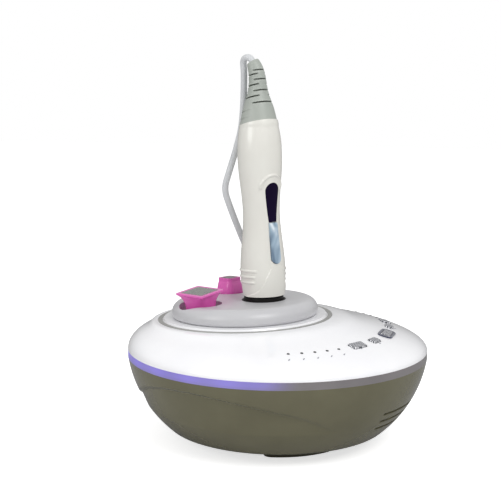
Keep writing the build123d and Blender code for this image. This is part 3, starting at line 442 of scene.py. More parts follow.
def footPads(setup):
    # four pads with a softened lower edge
    shape = bmesh.new()
    for direction in setup["directions"]:
        line = padOutline(setup, direction)
        rings = []
        for inset, height in ((0, setup["top"]), (0, setup["softening"]), (setup["softening"], 0)):
            drawnIn = [(radius + (inset if radius < setup["ring"] else -inset), turn)
                       for radius, turn in line]
            rings.append([shape.verts.new(around(radius, turn, height)) for radius, turn in drawnIn])
        for upper, lower in zip(rings, rings[1:]):
            for index in range(len(line)):
                after = (index + 1) % len(line)
                shape.faces.new((upper[index], lower[index], lower[after], upper[after]))
        shape.faces.new(rings[0])
        shape.faces.new(list(reversed(rings[-1])))
    bmesh.ops.recalc_face_normals(shape, faces=shape.faces)
    return shapeObject("footPads", shape)


feet = footPads(footSetup)
smoothByAngle(feet, footSetup["smoothAngle"])
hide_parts("rubber_feet")
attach(feet, "base")
print("feet moulded:", len(footSetup["directions"]))

# the grip: one dense skin round the hand piece's axis, its ribs, brow and swept step raised softly from it
handSetup = {
    "foot": (0, 0.013157, 0.127134),
    "lean": -2.0,
    "turn": -34.5,
}
handFrame = (Matrix.Translation(handSetup["foot"])
             @ Matrix.Rotation(math.radians(handSetup["lean"]), 4, "X")
             @ Matrix.Rotation(math.radians(handSetup["turn"]), 4, "Z"))
gripSetup = {
    "columns": 210,
    "zones": ((0.0021, 0.0300, 56), (0.0300, 0.0880, 42), (0.0880, 0.1130, 48), (0.1130, 0.1564, 32)),
    "innerRows": 10,
    "wall": 0.0021,
    "seamTilt": 12,
    "neckTaper": 0.23,
    "ribHeights": (0.0256, 0.0202, 0.0152),
    "ribEnds": (40.5, 35.0, 34.0),  # degrees from the side
    "ribFade": 7,
    "ribWidth": 0.0017,
    "ribProud": 0.0009,
    "browGap": 0.0038,
    "browLift": 0.0028,
    "browWidth": 0.0030,
    "browProud": 0.0012,
    "browDrop": 0.0055,
    "browFade": 0.003,
    "browReach": 85,
    "stepProud": 0.0010,
    "stepWidth": 0.0012,
    "stepTop": 0.046,
    "stepFade": 0.02,
    "stepLine": ((-195, 0.0012), (-171, 0.0033), (-150, 0.0057), (-137.6, 0.0088), (-125.6, 0.0148),
                 (-116.6, 0.0209), (-107.3, 0.0270), (-102.5, 0.0361), (-101.5, 0.0460)),  # turn and height
    "windowTop": (0.0, 0.09675, 0.00725),  # disc: across, height, radius
    "windowFoot": (0.0042, 0.0690, 0.0696),  # bar: half width, lowest, highest
    "windowPlay": 0.0001,
    "buttonLow": (0.0, 0.0369, 0.0049),
    "buttonHead": (0.0042, 0.0678, 0.0684),
    "buttonPlay": 0.00035,
    "holeDepths": (0.006, 0.030),
    "smoothAngle": 38,
}


def hullOutline(disc, bar, grow, steps=64):
    # convex outline round a disc and a short bar, as points in the front elevation
    across, middle, radius = disc
    half, low, high = bar
    turns = [2 * math.pi * step / steps for step in range(steps)]
    cloud = [(across + (radius + grow) * math.cos(turn), middle + (radius + grow) * math.sin(turn))
             for turn in turns]
    cloud += [(side * (half + grow), level) for side in (-1, 1) for level in (low - grow, high + grow)]
    return [cloud[index] for index in convex_hull_2d(cloud)]


def lineDistance(across, up, outline):
    # distance of many places from a closed outline
    best = np.full(across.shape, 1.0)
    for (ax, ay), (bx, by) in zip(outline, outline[1:] + outline[:1]):
        runX, runY = bx - ax, by - ay
        share = np.clip(((across - ax) * runX + (up - ay) * runY) / (runX ** 2 + runY ** 2), 0, 1)
        best = np.minimum(best, np.hypot(across - ax - share * runX, up - ay - share * runY))
    return best


def sideProfile(node):
    # the round form's radius by height, read from the plain back of the CAD shell
    toHand = handFrame.inverted()
    outwards = handFrame.to_3x3()
    heights = {}
    for vertex in node.data.vertices:
        place = toHand @ vertex.co
        flat = Vector((place.x, place.y, 0))
        behind = place.y > 0.004 and abs(place.x) < 0.7 * place.y
        if behind and vertex.normal.dot(outwards @ flat.normalized()) > 0.9:  # the outer skin alone
            heights[round(place.z, 4)] = flat.length
    ordered = sorted(heights.items())
    return [height for height, radius in ordered], [radius for height, radius in ordered]


def ribField(setup, angle, up):
    side = np.abs(np.abs(angle + 90) - 90)
    proud = np.zeros(angle.shape)
    for level, end in zip(setup["ribHeights"], setup["ribEnds"]):
        tip = softStep((end - side) / setup["ribFade"])
        ridge = softStep(1.6 - np.abs(up - level) / (setup["ribWidth"] * 0.5))
        proud = np.maximum(proud, setup["ribProud"] * tip * ridge)
    return proud


def browField(setup, angle, up, radius):
    across = radius * np.sin(np.radians(angle + 90))
    outline = hullOutline(setup["windowTop"], setup["windowFoot"], setup["browGap"])
    away = lineDistance(across, up - setup["browLift"], outline)
    crown = setup["windowTop"][1] + setup["windowTop"][2]
    legs = softStep((up - crown + setup["browDrop"]) / setup["browFade"] + 0.5)
    front = np.abs(angle + 90) < setup["browReach"]
    return setup["browProud"] * softStep(1.15 - away / (setup["browWidth"] * 0.5)) * legs * front


def stepField(setup, angle, up):
    # the foot stands proud below a line that sweeps up to the front
    turns, levels = zip(*setup["stepLine"])
    mirrored = -90 - np.abs(angle + 90)
    level = np.interp(mirrored, turns, levels)
    below = np.where(mirrored > turns[-1], 1.0, (level - up) / setup["stepWidth"] + 0.5)
    fade = softStep((setup["stepTop"] - up) / setup["stepFade"])
    return setup["stepProud"] * softStep(below) * fade * (mirrored > turns[0])


def gripSkin(setup):
    rows = []
    for low, high, count in setup["zones"]:
        rows += [low + (high - low) * step / count for step in range(count)]
    bend, top = setup["zones"][-1][:2]
    rows.append(top)
    heights, radii = sideProfile(nodes["handle_rear_shell"])
    columns = setup["columns"]
    angle = np.tile(np.arange(columns) * 360 / columns - 270, (len(rows), 1))
    up = np.tile(np.array(rows)[:, None], (1, columns))
    radius = np.interp(up, heights, radii)
    # the uppermost rows follow the slanted seam of the boot
    seam = top - radius * np.sin(np.radians(angle)) * math.tan(math.radians(setup["seamTilt"]))
    up = np.where(up > bend, bend + (up - bend) * (seam - bend) / (top - bend), up)
    radius = np.where(up > top, radii[-1] - (up - top) * setup["neckTaper"], np.interp(up, heights, radii))
    outer = (radius + ribField(setup, angle, up) + browField(setup, angle, up, radius)
             + stepField(setup, angle, up))
    inner = radius - setup["wall"]
    count = setup["innerRows"]
    innerRows = [round(step * (len(rows) - 1) / count) for step in range(count + 1)]
    rings = [(outer, row) for row in range(len(rows))] + [(inner, row) for row in reversed(innerRows)]
    points, faces = [], []
    for number, (skin, row) in enumerate(rings):
        points += [handFrame @ around(skin[row, column], math.radians(angle[row, column]), up[row, column])
                   for column in range(columns)]
        faces += ringFaces(number, (number + 1) % len(rings), columns)
    return meshObject("gripSkin", points, faces)


def outlinePrism(name, outline, depths):
    # an outline of the front elevation carried through the hand piece's front wall
    count = len(outline)
    points = [handFrame @ Vector((across, -depth, up)) for depth in depths for across, up in outline]
    faces = [tuple(range(count)), tuple(reversed(range(count, 2 * count)))]
    for index in range(count):
        after = (index + 1) % count
        faces.append((index, index + count, after + count, after))
    prism = meshObject(name, points, faces)
    shape = bmesh.new()
    shape.from_mesh(prism.data)
    bmesh.ops.recalc_face_normals(shape, faces=shape.faces)
    shape.to_mesh(prism.data)
    shape.free()
    return prism


grip = gripSkin(gripSetup)
windowOutline = hullOutline(gripSetup["windowTop"], gripSetup["windowFoot"], gripSetup["windowPlay"])
buttonOutline = hullOutline(gripSetup["buttonLow"], gripSetup["buttonHead"], gripSetup["buttonPlay"])
cutWith(grip, [
    outlinePrism("windowHole", windowOutline, gripSetup["holeDepths"]),
    outlinePrism("buttonHole", buttonOutline, gripSetup["holeDepths"]),
])
smoothByAngle(grip, gripSetup["smoothAngle"])
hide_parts("handle_front_shell", "handle_rear_shell")
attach(grip, "hand_piece")
print("grip moulded:", len(grip.data.polygons), "faces")


def addNode(tree, kind, settings=None, values=None):
    made = tree.nodes.new(kind)
    for key, value in (settings or {}).items():
        setattr(made, key, value)
    for key, value in (values or {}).items():
        made.inputs[key].default_value = value
    return made


def link(tree, source, output, target, socket):
    tree.links.new(source.outputs[output], target.inputs[socket])


def worked(tree, operation, *terms):
    # a Math node on numbers or on the outputs of nodes, each given as (node, output)
    made = addNode(tree, "ShaderNodeMath", {"operation": operation})
    for index, term in enumerate(terms):
        if isinstance(term, tuple):
            link(tree, *term, made, index)
        else:
            made.inputs[index].default_value = term
    return made, 0


def ranged(tree, source, start, end, low=0.0, high=1.0, kind="LINEAR"):
    # carries start..end of an output over to low..high
    made = addNode(tree, "ShaderNodeMapRange", {"interpolation_type": kind},
                   {"From Min": start, "From Max": end, "To Min": low, "To Max": high})
    link(tree, *source, made, "Value")
    return made, "Result"


def mixed(tree, mask, low, high):
    # a colour between two, by a mask; either colour is a value or (node, output)
    made = addNode(tree, "ShaderNodeMix", {"data_type": "RGBA"})
    link(tree, *mask, made, "Factor")
    for index, part in ((6, low), (7, high)):
        if isinstance(part[0], bpy.types.Node):
            link(tree, *part, made, index)
        else:
            made.inputs[index].default_value = part
    return made, 2


def raised(tree, shader, height, strength, distance):
    bump = addNode(tree, "ShaderNodeBump", values={"Strength": strength, "Distance": distance})
    link(tree, *height, bump, "Height")
    link(tree, bump, "Normal", shader, "Normal")


def newGroup(name, inputs, outputs):
    group = bpy.data.node_groups.new(name, "ShaderNodeTree")
    for socketName, kind, value in inputs:
        socket = group.interface.new_socket(socketName, in_out="INPUT", socket_type=kind)
        if value is not None:
            socket.default_value = value
    for socketName, kind in outputs:
        group.interface.new_socket(socketName, in_out="OUTPUT", socket_type=kind)
    return group, group.nodes.new("NodeGroupInput"), group.nodes.new("NodeGroupOutput")


def mouldedFinishGroup():
    # slow tone drift, fine moulding grain and faint wiping marks on a hard plastic
    group, start, end = newGroup(
        "mouldedFinish",
        [("Vector", "NodeSocketVector", None), ("Base", "NodeSocketColor", (0.5, 0.5, 0.5, 1)),
         ("Drift", "NodeSocketColor", (0.4, 0.4, 0.4, 1)), ("Drift Size", "NodeSocketFloat", 18.0),
         ("Grain Size", "NodeSocketFloat", 900.0), ("Roughness", "NodeSocketFloat", 0.2),
         ("Roughness Spread", "NodeSocketFloat", 0.05)],
        [("Color", "NodeSocketColor"), ("Roughness", "NodeSocketFloat"), ("Height", "NodeSocketFloat")])
    drift = addNode(group, "ShaderNodeTexNoise", values={"Detail": 3.0, "Roughness": 0.55})
    grain = addNode(group, "ShaderNodeTexNoise", values={"Detail": 2.0, "Roughness": 0.6})
    wipes = addNode(group, "ShaderNodeTexNoise",
                    values={"Scale": 46.0, "Detail": 4.0, "Roughness": 0.7, "Distortion": 0.6})
    stretch = addNode(group, "ShaderNodeMapping", values={"Scale": (1.0, 1.0, 0.18)})
    link(group, start, "Vector", drift, "Vector")
    link(group, start, "Drift Size", drift, "Scale")
    link(group, start, "Vector", grain, "Vector")
    link(group, start, "Grain Size", grain, "Scale")
    link(group, start, "Vector", stretch, "Vector")
    link(group, stretch, "Vector", wipes, "Vector")
    shade = ranged(group, (drift, "Fac"), 0.35, 0.7)
    tone = mixed(group, shade, (start, "Base"), (start, "Drift"))
    centred = worked(group, "SUBTRACT", (wipes, "Fac"), 0.5)
    gloss = worked(group, "MULTIPLY_ADD", centred, (start, "Roughness Spread"), (start, "Roughness"))
    link(group, *tone, end, "Color")
    link(group, *gloss, end, "Roughness")
    link(group, grain, "Fac", end, "Height")
    return group


def edgeWearGroup():
    # a mask that is high along worn outer edges, broken up by noise
    group, start, end = newGroup(
        "edgeWear",
        [("Vector", "NodeSocketVector", None), ("Amount", "NodeSocketFloat", 0.5),
         ("Break Up", "NodeSocketFloat", 180.0)],
        [("Mask", "NodeSocketFloat")])
    geometry = group.nodes.new("ShaderNodeNewGeometry")
    noise = addNode(group, "ShaderNodeTexNoise", values={"Detail": 3.0})
    link(group, start, "Vector", noise, "Vector")
    link(group, start, "Break Up", noise, "Scale")
    sharp = ranged(group, (geometry, "Pointiness"), 0.52, 0.62)
    broken = worked(group, "MULTIPLY", sharp, (noise, "Fac"))
    link(group, *worked(group, "MULTIPLY", broken, (start, "Amount")), end, "Mask")
    return group


def brushedGroup():
    # fine parallel lines of a brushed metal, stretched along one axis
    group, start, end = newGroup(
        "brushedLines",
        [("Vector", "NodeSocketVector", None), ("Stretch", "NodeSocketVector", (1.0, 1.0, 1.0)),
         ("Scale", "NodeSocketFloat", 900.0)],
        [("Lines", "NodeSocketFloat")])
    mapping = group.nodes.new("ShaderNodeMapping")
    noise = addNode(group, "ShaderNodeTexNoise", values={"Detail": 4.0, "Roughness": 0.65})
    link(group, start, "Vector", mapping, "Vector")
    link(group, start, "Stretch", mapping, "Scale")
    link(group, mapping, "Vector", noise, "Vector")
    link(group, start, "Scale", noise, "Scale")
    link(group, noise, "Fac", end, "Lines")
    return group


mouldedFinish = mouldedFinishGroup()
edgeWear = edgeWearGroup()
brushedLines = brushedGroup()


def startMaterial(name):
    material = bpy.data.materials.new(name)
    material.use_nodes = True
    tree = material.node_tree
    tree.nodes.clear()
    output = tree.nodes.new("ShaderNodeOutputMaterial")
    shader = tree.nodes.new("ShaderNodeBsdfPrincipled")
    link(tree, shader, "BSDF", output, "Surface")
    place = tree.nodes.new("ShaderNodeTexCoord")
    return material, tree, shader, place


def colour(red, green, blue):
    # the light a colour of 0 to 255 parts stands for
    shares = [part / 255 for part in (red, green, blue)]
    return (*(part / 12.92 if part <= 0.04045 else ((part + 0.055) / 1.055) ** 2.4 for part in shares), 1.0)


plasticSetup = {"bump": 0.6, "wear": 0.5, "coatRoughness": 0.04}
metalSetup = {"darker": 0.75, "spread": 0.3, "bump": 0.5, "lines": 0.00002}


def plastic(name, base, drift, roughness, grain=0.00004, coat=0.0, wear=None, specular=0.5):
    # a moulded plastic or rubber: tone drift, grain, wiped gloss and, where given, paler worn edges
    material, tree, shader, place = startMaterial(name)
    finish = addNode(tree, "ShaderNodeGroup", {"node_tree": mouldedFinish},
                     {"Base": base, "Drift": drift, "Roughness": roughness})
    link(tree, place, "Object", finish, "Vector")
    raised(tree, shader, (finish, "Height"), plasticSetup["bump"], grain)
    link(tree, finish, "Roughness", shader, "Roughness")
    tone = (finish, "Color")
    if wear is not None:
        mask = addNode(tree, "ShaderNodeGroup", {"node_tree": edgeWear}, {"Amount": plasticSetup["wear"]})
        link(tree, place, "Object", mask, "Vector")
        tone = mixed(tree, (mask, "Mask"), tone, wear)
    link(tree, *tone, shader, "Base Color")
    shader.inputs["Coat Weight"].default_value = coat
    shader.inputs["Coat Roughness"].default_value = plasticSetup["coatRoughness"]
    shader.inputs["Specular IOR Level"].default_value = specular
    return material


def metal(name, base, roughness, stretch, scale):
    # a metal with brushed lines in its tone, gloss and bump
    material, tree, shader, place = startMaterial(name)
    brushed = addNode(tree, "ShaderNodeGroup", {"node_tree": brushedLines},
                      {"Stretch": stretch, "Scale": scale})
    link(tree, place, "Object", brushed, "Vector")
    lines = (brushed, "Lines")
    darker = (*(part * metalSetup["darker"] for part in base[:3]), 1)
    gloss = [roughness * (1 + side * metalSetup["spread"]) for side in (-1, 1)]
    link(tree, *mixed(tree, lines, darker, base), shader, "Base Color")
    link(tree, *ranged(tree, lines, 0, 1, *gloss), shader, "Roughness")
    raised(tree, shader, lines, metalSetup["bump"], metalSetup["lines"])
    shader.inputs["Metallic"].default_value = 1.0
    return material


studSetup = {"dark": 0.12, "bright": 0.45, "bump": 0.7, "height": 0.0003, "roughness": 0.4, "metallic": 0.4}
plateSetup = {"turn": 19, "scale": 260.0, "between": colour(96, 98, 95), "stud": colour(205, 206, 202)}
keySetup = {"turn": 40, "scale": 190.0, "between": colour(96, 98, 104), "stud": colour(240, 240, 244)}


def gridPlate(name, setup):
    # fine square studs on a plate: two crossed waves, dark between the studs
    material, tree, shader, place = startMaterial(name)
    turned = addNode(tree, "ShaderNodeMapping", values={"Rotation": (0, 0, math.radians(setup["turn"]))})
    link(tree, place, "Object", turned, "Vector")
    waves = []
    for axis in ("X", "Y"):
        wave = addNode(tree, "ShaderNodeTexWave", {"bands_direction": axis, "wave_profile": "SIN"},
                       {"Scale": setup["scale"]})
        link(tree, turned, "Vector", wave, "Vector")
        waves.append((wave, "Fac"))
    studs = ranged(tree, worked(tree, "MULTIPLY", *waves), studSetup["dark"], studSetup["bright"])
    link(tree, *mixed(tree, studs, setup["between"], setup["stud"]), shader, "Base Color")
    raised(tree, shader, studs, studSetup["bump"], studSetup["height"])
    shader.inputs["Roughness"].default_value = studSetup["roughness"]
    shader.inputs["Metallic"].default_value = studSetup["metallic"]
    return material


ringSetup = {
    "base": colour(132, 128, 129),
    "drift": colour(122, 118, 120),
    "light": colour(104, 84, 238),
    "middle": 90,  # the lamps shine on both sides of this direction
    "full": 96,  # and fade between these two angles from it
    "dark": 117,
    "bandLow": 0.0765,
    "bandHigh": 0.0800,
    "lowShare": 0.75,
    "lamps": 48,
    "ripple": 0.08,
    "strength": 0.6,
}


def ringLight(name, setup):
    # a milky ring lit from behind round the rear, dark towards the front
    material = plastic(name, setup["base"], setup["drift"], 0.22, coat=0.3, grain=0.000004)
    tree = material.node_tree
    shader = tree.nodes["Principled BSDF"]
    parts = tree.nodes.new("ShaderNodeSeparateXYZ")
    link(tree, tree.nodes["Texture Coordinate"], "Object", parts, "Vector")
    turn = worked(tree, "ARCTAN2", (parts, "Y"), (parts, "X"))
    fromMiddle = worked(tree, "SUBTRACT", turn, math.radians(setup["middle"]))
    side = worked(tree, "ABSOLUTE", worked(tree, "WRAP", fromMiddle, math.pi, -math.pi))
    reach = ranged(tree, side, math.radians(setup["dark"]), math.radians(setup["full"]), kind="SMOOTHSTEP")
    band = ranged(tree, (parts, "Z"), setup["bandLow"], setup["bandHigh"], setup["lowShare"],
                  kind="SMOOTHSTEP")
    waves = worked(tree, "COSINE", worked(tree, "MULTIPLY", turn, setup["lamps"] / 2))
    ripple = worked(tree, "MULTIPLY_ADD", waves, setup["ripple"], 1 - setup["ripple"])
    glow = worked(tree, "MULTIPLY", worked(tree, "MULTIPLY", reach, band), ripple)
    link(tree, *mixed(tree, glow, (0, 0, 0, 1), setup["light"]), shader, "Emission Color")
    shader.inputs["Emission Strength"].default_value = setup["strength"]
    return material


pearlHighlightSetup = {
    "tones": ((0.34, colour(110, 132, 154)), (0.52, colour(166, 188, 206)), (0.68, colour(230, 240, 248))),
    "stretch": (1.0, 1.0, 0.4),
    "turn": (0.25, 0.0, 0.0),  # in radians
    # moves the pale tone up into a painted highlight on the button's top
    "highlightShift": (0.0, 0.0, -0.0130),
    "scale": 88.0,
    "roughness": (0.16, 0.34),
    "metallic": 0.1,
    "coat": 0.5,
}


def pearlWithPaintedHighlight(name, setup):
    # a pearly plastic with long soft streaks, partly painted light: the pale streaks are moved up into a
    # painted highlight on the top, and the darker ones give painted shade below
    material, tree, shader, place = startMaterial(name)
    stretch = addNode(tree, "ShaderNodeMapping", values={
        "Scale": setup["stretch"], "Rotation": setup["turn"], "Location": setup["highlightShift"]})
    streaksAndHighlight = addNode(tree, "ShaderNodeTexNoise",
                      values={"Scale": setup["scale"], "Detail": 1.0, "Distortion": 0.9})
    ramp = tree.nodes.new("ShaderNodeValToRGB")
    ramp.color_ramp.elements.new(0.5)
    for element, (position, tone) in zip(ramp.color_ramp.elements, setup["tones"]):
        element.position = position
        element.color = tone
    link(tree, place, "Object", stretch, "Vector")
    link(tree, stretch, "Vector", streaksAndHighlight, "Vector")
    link(tree, streaksAndHighlight, "Fac", ramp, "Fac")
    link(tree, ramp, "Color", shader, "Base Color")
    link(tree, *ranged(tree, (streaksAndHighlight, "Fac"), 0, 1, *setup["roughness"]), shader, "Roughness")
    shader.inputs["Metallic"].default_value = setup["metallic"]
    shader.inputs["Coat Weight"].default_value = setup["coat"]
    return material


finishes = {
    "bowlOlive": plastic("bowlOlive", colour(109, 106, 84), colour(101, 98, 77), 0.08, 0.000003, coat=0.6),
    "coverWhite": plastic("coverWhite", colour(250, 250, 252), colour(246, 246, 249), 0.14, 0.000004,
                          coat=0.3),
    "trayGrey": plastic("trayGrey", colour(199, 199, 201), colour(192, 192, 195), 0.3),
    "ringLight": ringLight("ringLight", ringSetup),
    # the trim's grey is partly its own colour and partly painted shade, darkened to stand in for the shade
    # of the recess between cover and tray
    "trimGreyPaintedShade": plastic("trimGreyPaintedShade", colour(150, 150, 146), colour(138, 138, 134), 0.3, 0.00001),
    "gripCream": plastic("gripCream", colour(227, 226, 219), colour(222, 220, 213), 0.22, 0.00001,
                         coat=0.35),
    "bootGrey": plastic("bootGrey", colour(170, 175, 168), colour(160, 166, 159), 0.45, 0.00006,
                        wear=colour(205, 208, 202)),
    "cordGrey": plastic("cordGrey", colour(214, 216, 218), colour(205, 207, 210), 0.4, 0.00003),
    "footGrey": plastic("footGrey", colour(88, 84, 66), colour(80, 76, 60), 0.5, 0.00005),
    "collarBlack": plastic("collarBlack", colour(20, 18, 17), colour(28, 26, 25), 0.45, 0.00005,
                           specular=0.2),
    "windowViolet": plastic("windowViolet", colour(20, 10, 36), colour(24, 14, 44), 0.3, 0.000003,
                            specular=0.06),
    # the button's pale top is a painted highlight and its darker lower part painted shade
    "buttonBlue": pearlWithPaintedHighlight("buttonBlue", pearlHighlightSetup),
    "keyChrome": gridPlate("keyChrome", keySetup),
    "bezelNavy": plastic("bezelNavy", colour(30, 36, 66), colour(38, 44, 78), 0.1, 0.000005, coat=0.7),
    "tickGrey": plastic("tickGrey", colour(150, 152, 160), colour(142, 144, 152), 0.5),
    "lensSmoke": plastic("lensSmoke", colour(40, 40, 44), colour(52, 52, 56), 0.08, 0.000003, coat=0.6),
    "headPink": plastic("headPink", colour(232, 104, 190), colour(224, 96, 182), 0.25, 0.00001, coat=0.2),
    "plateSteel": gridPlate("plateSteel", plateSetup),
    "contactBrass": metal("contactBrass", colour(200, 165, 95), 0.25, (1, 1, 1), 1200),
    "boardGreen": plastic("boardGreen", colour(28, 92, 52), colour(22, 78, 44), 0.35),
    "partBlack": plastic("partBlack", colour(36, 36, 38), colour(44, 44, 46), 0.5),
    "coreSteel": metal("coreSteel", colour(140, 140, 142), 0.4, (1, 1, 30), 400),
    "screwSteel": metal("screwSteel", colour(175, 175, 175), 0.3, (1, 1, 1), 1500),
    "panelBlack": plastic("panelBlack", colour(44, 44, 44), colour(52, 52, 52), 0.5, 0.0001),
}
print("finishes mixed:", len(finishes))

nodesByFinish = {
    "bowlOlive": ["bowl"],
    "footGrey": ["rubber_feet"],
    "ringLight": ["light_ring"],
    "coverWhite": ["top_cover"],
    "trimGreyPaintedShade": ["trim_ring"],
    "trayGrey": ["tray"],
    "keyChrome": ["key_1", "key_2", "key_3", "key_4", "key_5"],
    "bezelNavy": ["power_bezel"],
    "lensSmoke": ["indicator_lenses"],
    "gripCream": ["handle_front_shell", "handle_rear_shell"],
    "windowViolet": ["display_window"],
    "buttonBlue": ["handle_button"],
    "collarBlack": ["nose_collar", "dock_liner"],
    "bootGrey": ["strain_relief"],
    "cordGrey": ["cord_lead", "cord_coil", "cord_tail"],
    "headPink": ["large_head", "small_head"],
    "plateSteel": ["large_head_plate", "small_head_plate"],
    "contactBrass": ["inlet_pins", "contact_pins", "large_head_contact", "small_head_contact"],
    "boardGreen": ["main_board", "control_board", "led_strip", "handle_board"],
    "coreSteel": ["transformer"],
    "screwSteel": ["base_screws", "tray_screws", "board_screws", "handle_screws"],
    "panelBlack": ["connector_panel"],
    "partBlack": ["power_inlet", "switch_frame", "power_rocker", "handpiece_socket", "cord_plug", "buzzer",
                  "key_switches", "handle_switch"],
}


def dress(target, finish):
    target.data.materials.clear()
    target.data.materials.append(finishes[finish])


for finish, names in nodesByFinish.items():
    for nodeName in names:
        dress(nodes[nodeName], finish)
for piece, finish in ((cord, "cordGrey"), (bowl, "bowlOlive"), (grip, "gripCream"), (feet, "footGrey")):
    dress(piece, finish)
print("nodes dressed:", sum(len(names) for names in nodesByFinish.values()))

# small printed ticks outside the lamps of the level indicator and outside the keys
tickSetup = {
    "out": 0.0085,
    "size": (0.0026, 0.0010, 0.0003),
    "sunk": 0.00008,
    "topDepth": 0.001,  # how much of a body counts as its top
    "weld": 0.00001,
    "keys": ("key_1", "key_2", "key_4", "key_5"),
}


def islandCentres(node, setup):
    # the middle of the top of every separate body in a node's mesh
    shape = bmesh.new()
    shape.from_mesh(node.data)
    bmesh.ops.remove_doubles(shape, verts=shape.verts, dist=setup["weld"])
    left = set(shape.verts)
    centres = []
    while left:
        reached = {left.pop()}
        island = set(reached)
        while reached:
            reached = {edge.other_vert(vert) for vert in reached for edge in vert.link_edges} & left
            left -= reached
            island |= reached
        places = [node.matrix_world @ vert.co for vert in island]
        top = max(place.z for place in places)
        upper = [place for place in places if place.z > top - setup["topDepth"]]
        centres.append(sum(upper, Vector()) / len(upper))
    shape.free()
    return centres


def tickPoints(setup):
    # points on the cover, each with the way that its tick faces
    cover = nodes["top_cover"]
    skin = BVHTree.FromPolygons([cover.matrix_world @ vertex.co for vertex in cover.data.vertices],
                                [list(polygon.vertices) for polygon in cover.data.polygons])
    spots = islandCentres(nodes["indicator_lenses"], setup)
    for key in setup["keys"]:
        spots += islandCentres(nodes[key], setup)[:1]
    places, aims = [], []
    for spot in spots:
        outwards = Vector((spot.x, spot.y, 0)).normalized()
        above = Vector((spot.x, spot.y, cadHigh[2])) + outwards * setup["out"]
        place, normal, index, distance = skin.ray_cast(above, Vector((0, 0, -1)))
        if place is not None:
            places.append(place - normal * setup["sunk"])
            aims.append(normal)
    made = meshObject("tickMarks", places, [])
    aim = made.data.attributes.new("aim", "FLOAT_VECTOR", "POINT")
    aim.data.foreach_set("vector", [part for normal in aims for part in normal])
    return made


def repeatTree(name):
    # one block on every point, turned to the point's own aim
    tree = bpy.data.node_groups.new(name, "GeometryNodeTree")
    sockets = {}
    tree.interface.new_socket("Geometry", in_out="INPUT", socket_type="NodeSocketGeometry")
    for label, kind in (("Size", "NodeSocketVector"), ("Material", "NodeSocketMaterial")):
        sockets[label] = tree.interface.new_socket(label, in_out="INPUT", socket_type=kind).identifier
    tree.interface.new_socket("Geometry", in_out="OUTPUT", socket_type="NodeSocketGeometry")
    entry = tree.nodes.new("NodeGroupInput")
    leave = tree.nodes.new("NodeGroupOutput")
    aim = addNode(tree, "GeometryNodeInputNamedAttribute", {"data_type": "FLOAT_VECTOR"}, {"Name": "aim"})
    turn = addNode(tree, "FunctionNodeAlignRotationToVector", {"axis": "Z"})
    block = tree.nodes.new("GeometryNodeMeshCube")
    spread = tree.nodes.new("GeometryNodeInstanceOnPoints")
    real = tree.nodes.new("GeometryNodeRealizeInstances")
    paint = tree.nodes.new("GeometryNodeSetMaterial")
    link(tree, aim, "Attribute", turn, "Vector")
    link(tree, entry, "Size", block, "Size")
    link(tree, entry, "Geometry", spread, "Points")
    link(tree, block, "Mesh", spread, "Instance")
    link(tree, turn, "Rotation", spread, "Rotation")
    link(tree, spread, "Instances", real, "Geometry")
    link(tree, real, "Geometry", paint, "Geometry")
    link(tree, entry, "Material", paint, "Material")
    link(tree, paint, "Geometry", leave, "Geometry")
    return tree, sockets


def repeatBlocks(target, size, material):
    tree, sockets = repeatTree("repeatBlocks")
    spread = target.modifiers.new("repeatBlocks", "NODES")
    spread.node_group = tree
    spread[sockets["Size"]] = size
    spread[sockets["Material"]] = material
    bpy.context.view_layer.update()
    applyModifiers(target)


ticks = tickPoints(tickSetup)
tickCount = len(ticks.data.vertices)
repeatBlocks(ticks, tickSetup["size"], finishes["tickGrey"])
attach(ticks, "base")
print("ticks printed:", tickCount)

studio = {
    "floorSize": 12.0,
    "floorColour": (0.8, 0.8, 0.8, 1),
    "floorMirrored": (0.34, 0.34, 0.34, 1),
    "floorGlow": 0.66,
    "skyStrength": 0.66,
    "seenStrength": 1.0,
    "dimBelow": 0.0,  # reflections see the sky dimmer towards the horizon
    "fullAbove": 0.5,
    "dimShare": 0.3,
    "lampAim": (0, 0, 0.12),
    "lamps": (  # name, place, side and power
        ("keyLamp", (-0.9, -1.1, 1.5), 0.9, 14.0),
        ("fillLamp", (-1.3, 0.9, 0.8), 0.7, 5.0),
    ),
}


def floorMaterial(name, setup):
    # a pale matt floor that looks white to the camera, with the shadows kept
    material = bpy.data.materials.new(name)
    material.use_nodes = True
    tree = material.node_tree
    tree.nodes.clear()
    output = tree.nodes.new("ShaderNodeOutputMaterial")
    rays = tree.nodes.new("ShaderNodeLightPath")
    matt = tree.nodes.new("ShaderNodeBsdfDiffuse")
    lift = addNode(tree, "ShaderNodeEmission", values={"Strength": setup["floorGlow"]})
    nothing = addNode(tree, "ShaderNodeEmission", values={"Strength": 0.0})
    pick = tree.nodes.new("ShaderNodeMixShader")
    both = tree.nodes.new("ShaderNodeAddShader")
    shade = mixed(tree, (rays, "Is Glossy Ray"), setup["floorColour"], setup["floorMirrored"])
    seen = worked(tree, "MAXIMUM", (rays, "Is Camera Ray"), (rays, "Is Transmission Ray"))
    link(tree, *shade, matt, "Color")
    link(tree, *seen, pick, "Fac")
    link(tree, nothing, 0, pick, 1)
    link(tree, lift, 0, pick, 2)
    link(tree, matt, 0, both, 0)
    link(tree, pick, 0, both, 1)
    link(tree, both, 0, output, "Surface")
    return material


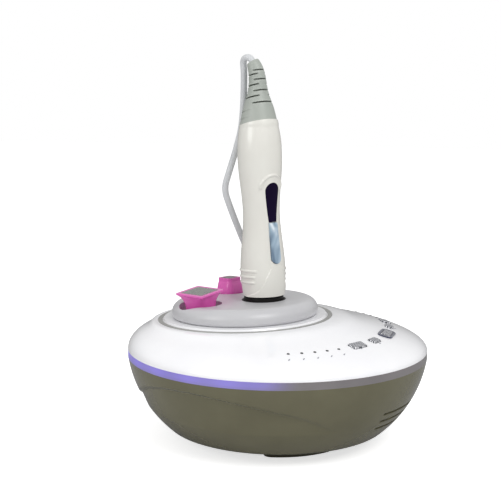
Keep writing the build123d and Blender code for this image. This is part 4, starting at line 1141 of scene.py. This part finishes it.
def studioFloor(setup):
    half = setup["floorSize"] / 2
    corners = [(-half, -half, 0), (half, -half, 0), (half, half, 0), (-half, half, 0)]
    floor = meshObject("studioFloor", corners, [(0, 1, 2, 3)])
    floor.data.materials.append(floorMaterial("studioFloor", setup))


def studioSky(setup):
    # a plain pale sky: white to the camera, plain as a light, dimmer near the horizon in reflections
    world = bpy.data.worlds.new("studioSky")
    scene.world = world
    world.use_nodes = True
    tree = world.node_tree
    tree.nodes.clear()
    output = tree.nodes.new("ShaderNodeOutputWorld")
    rays = tree.nodes.new("ShaderNodeLightPath")
    place = tree.nodes.new("ShaderNodeTexCoord")
    parts = tree.nodes.new("ShaderNodeSeparateXYZ")
    white = {"Color": (1, 1, 1, 1)}
    light = addNode(tree, "ShaderNodeBackground", values={**white, "Strength": setup["skyStrength"]})
    seen = addNode(tree, "ShaderNodeBackground", values={**white, "Strength": setup["seenStrength"]})
    mirrored = tree.nodes.new("ShaderNodeBackground")
    pickSeen = tree.nodes.new("ShaderNodeMixShader")
    pickMirrored = tree.nodes.new("ShaderNodeMixShader")
    link(tree, place, "Generated", parts, "Vector")
    rise = ranged(tree, (parts, "Z"), setup["dimBelow"], setup["fullAbove"], setup["dimShare"],
                  kind="SMOOTHSTEP")
    either = worked(tree, "MAXIMUM", (rays, "Is Camera Ray"), (rays, "Is Transmission Ray"))
    link(tree, *rise, mirrored, "Strength")
    link(tree, *either, pickSeen, "Fac")
    link(tree, light, 0, pickSeen, 1)
    link(tree, seen, 0, pickSeen, 2)
    link(tree, rays, "Is Glossy Ray", pickMirrored, "Fac")
    link(tree, pickSeen, 0, pickMirrored, 1)
    link(tree, mirrored, 0, pickMirrored, 2)
    link(tree, pickMirrored, 0, output, "Surface")


def softLamp(name, place, side, power, aim):
    data = bpy.data.lights.new(name, "AREA")
    data.shape = "RECTANGLE"
    data.size = data.size_y = side
    data.energy = power
    lamp = addObject(name, data)
    lamp.location = place
    lamp.rotation_mode = "QUATERNION"
    lamp.rotation_quaternion = (Vector(aim) - Vector(place)).to_track_quat("-Z", "Y")


studioFloor(studio)
studioSky(studio)
for lamp in studio["lamps"]:
    softLamp(*lamp, studio["lampAim"])
print("studio set")
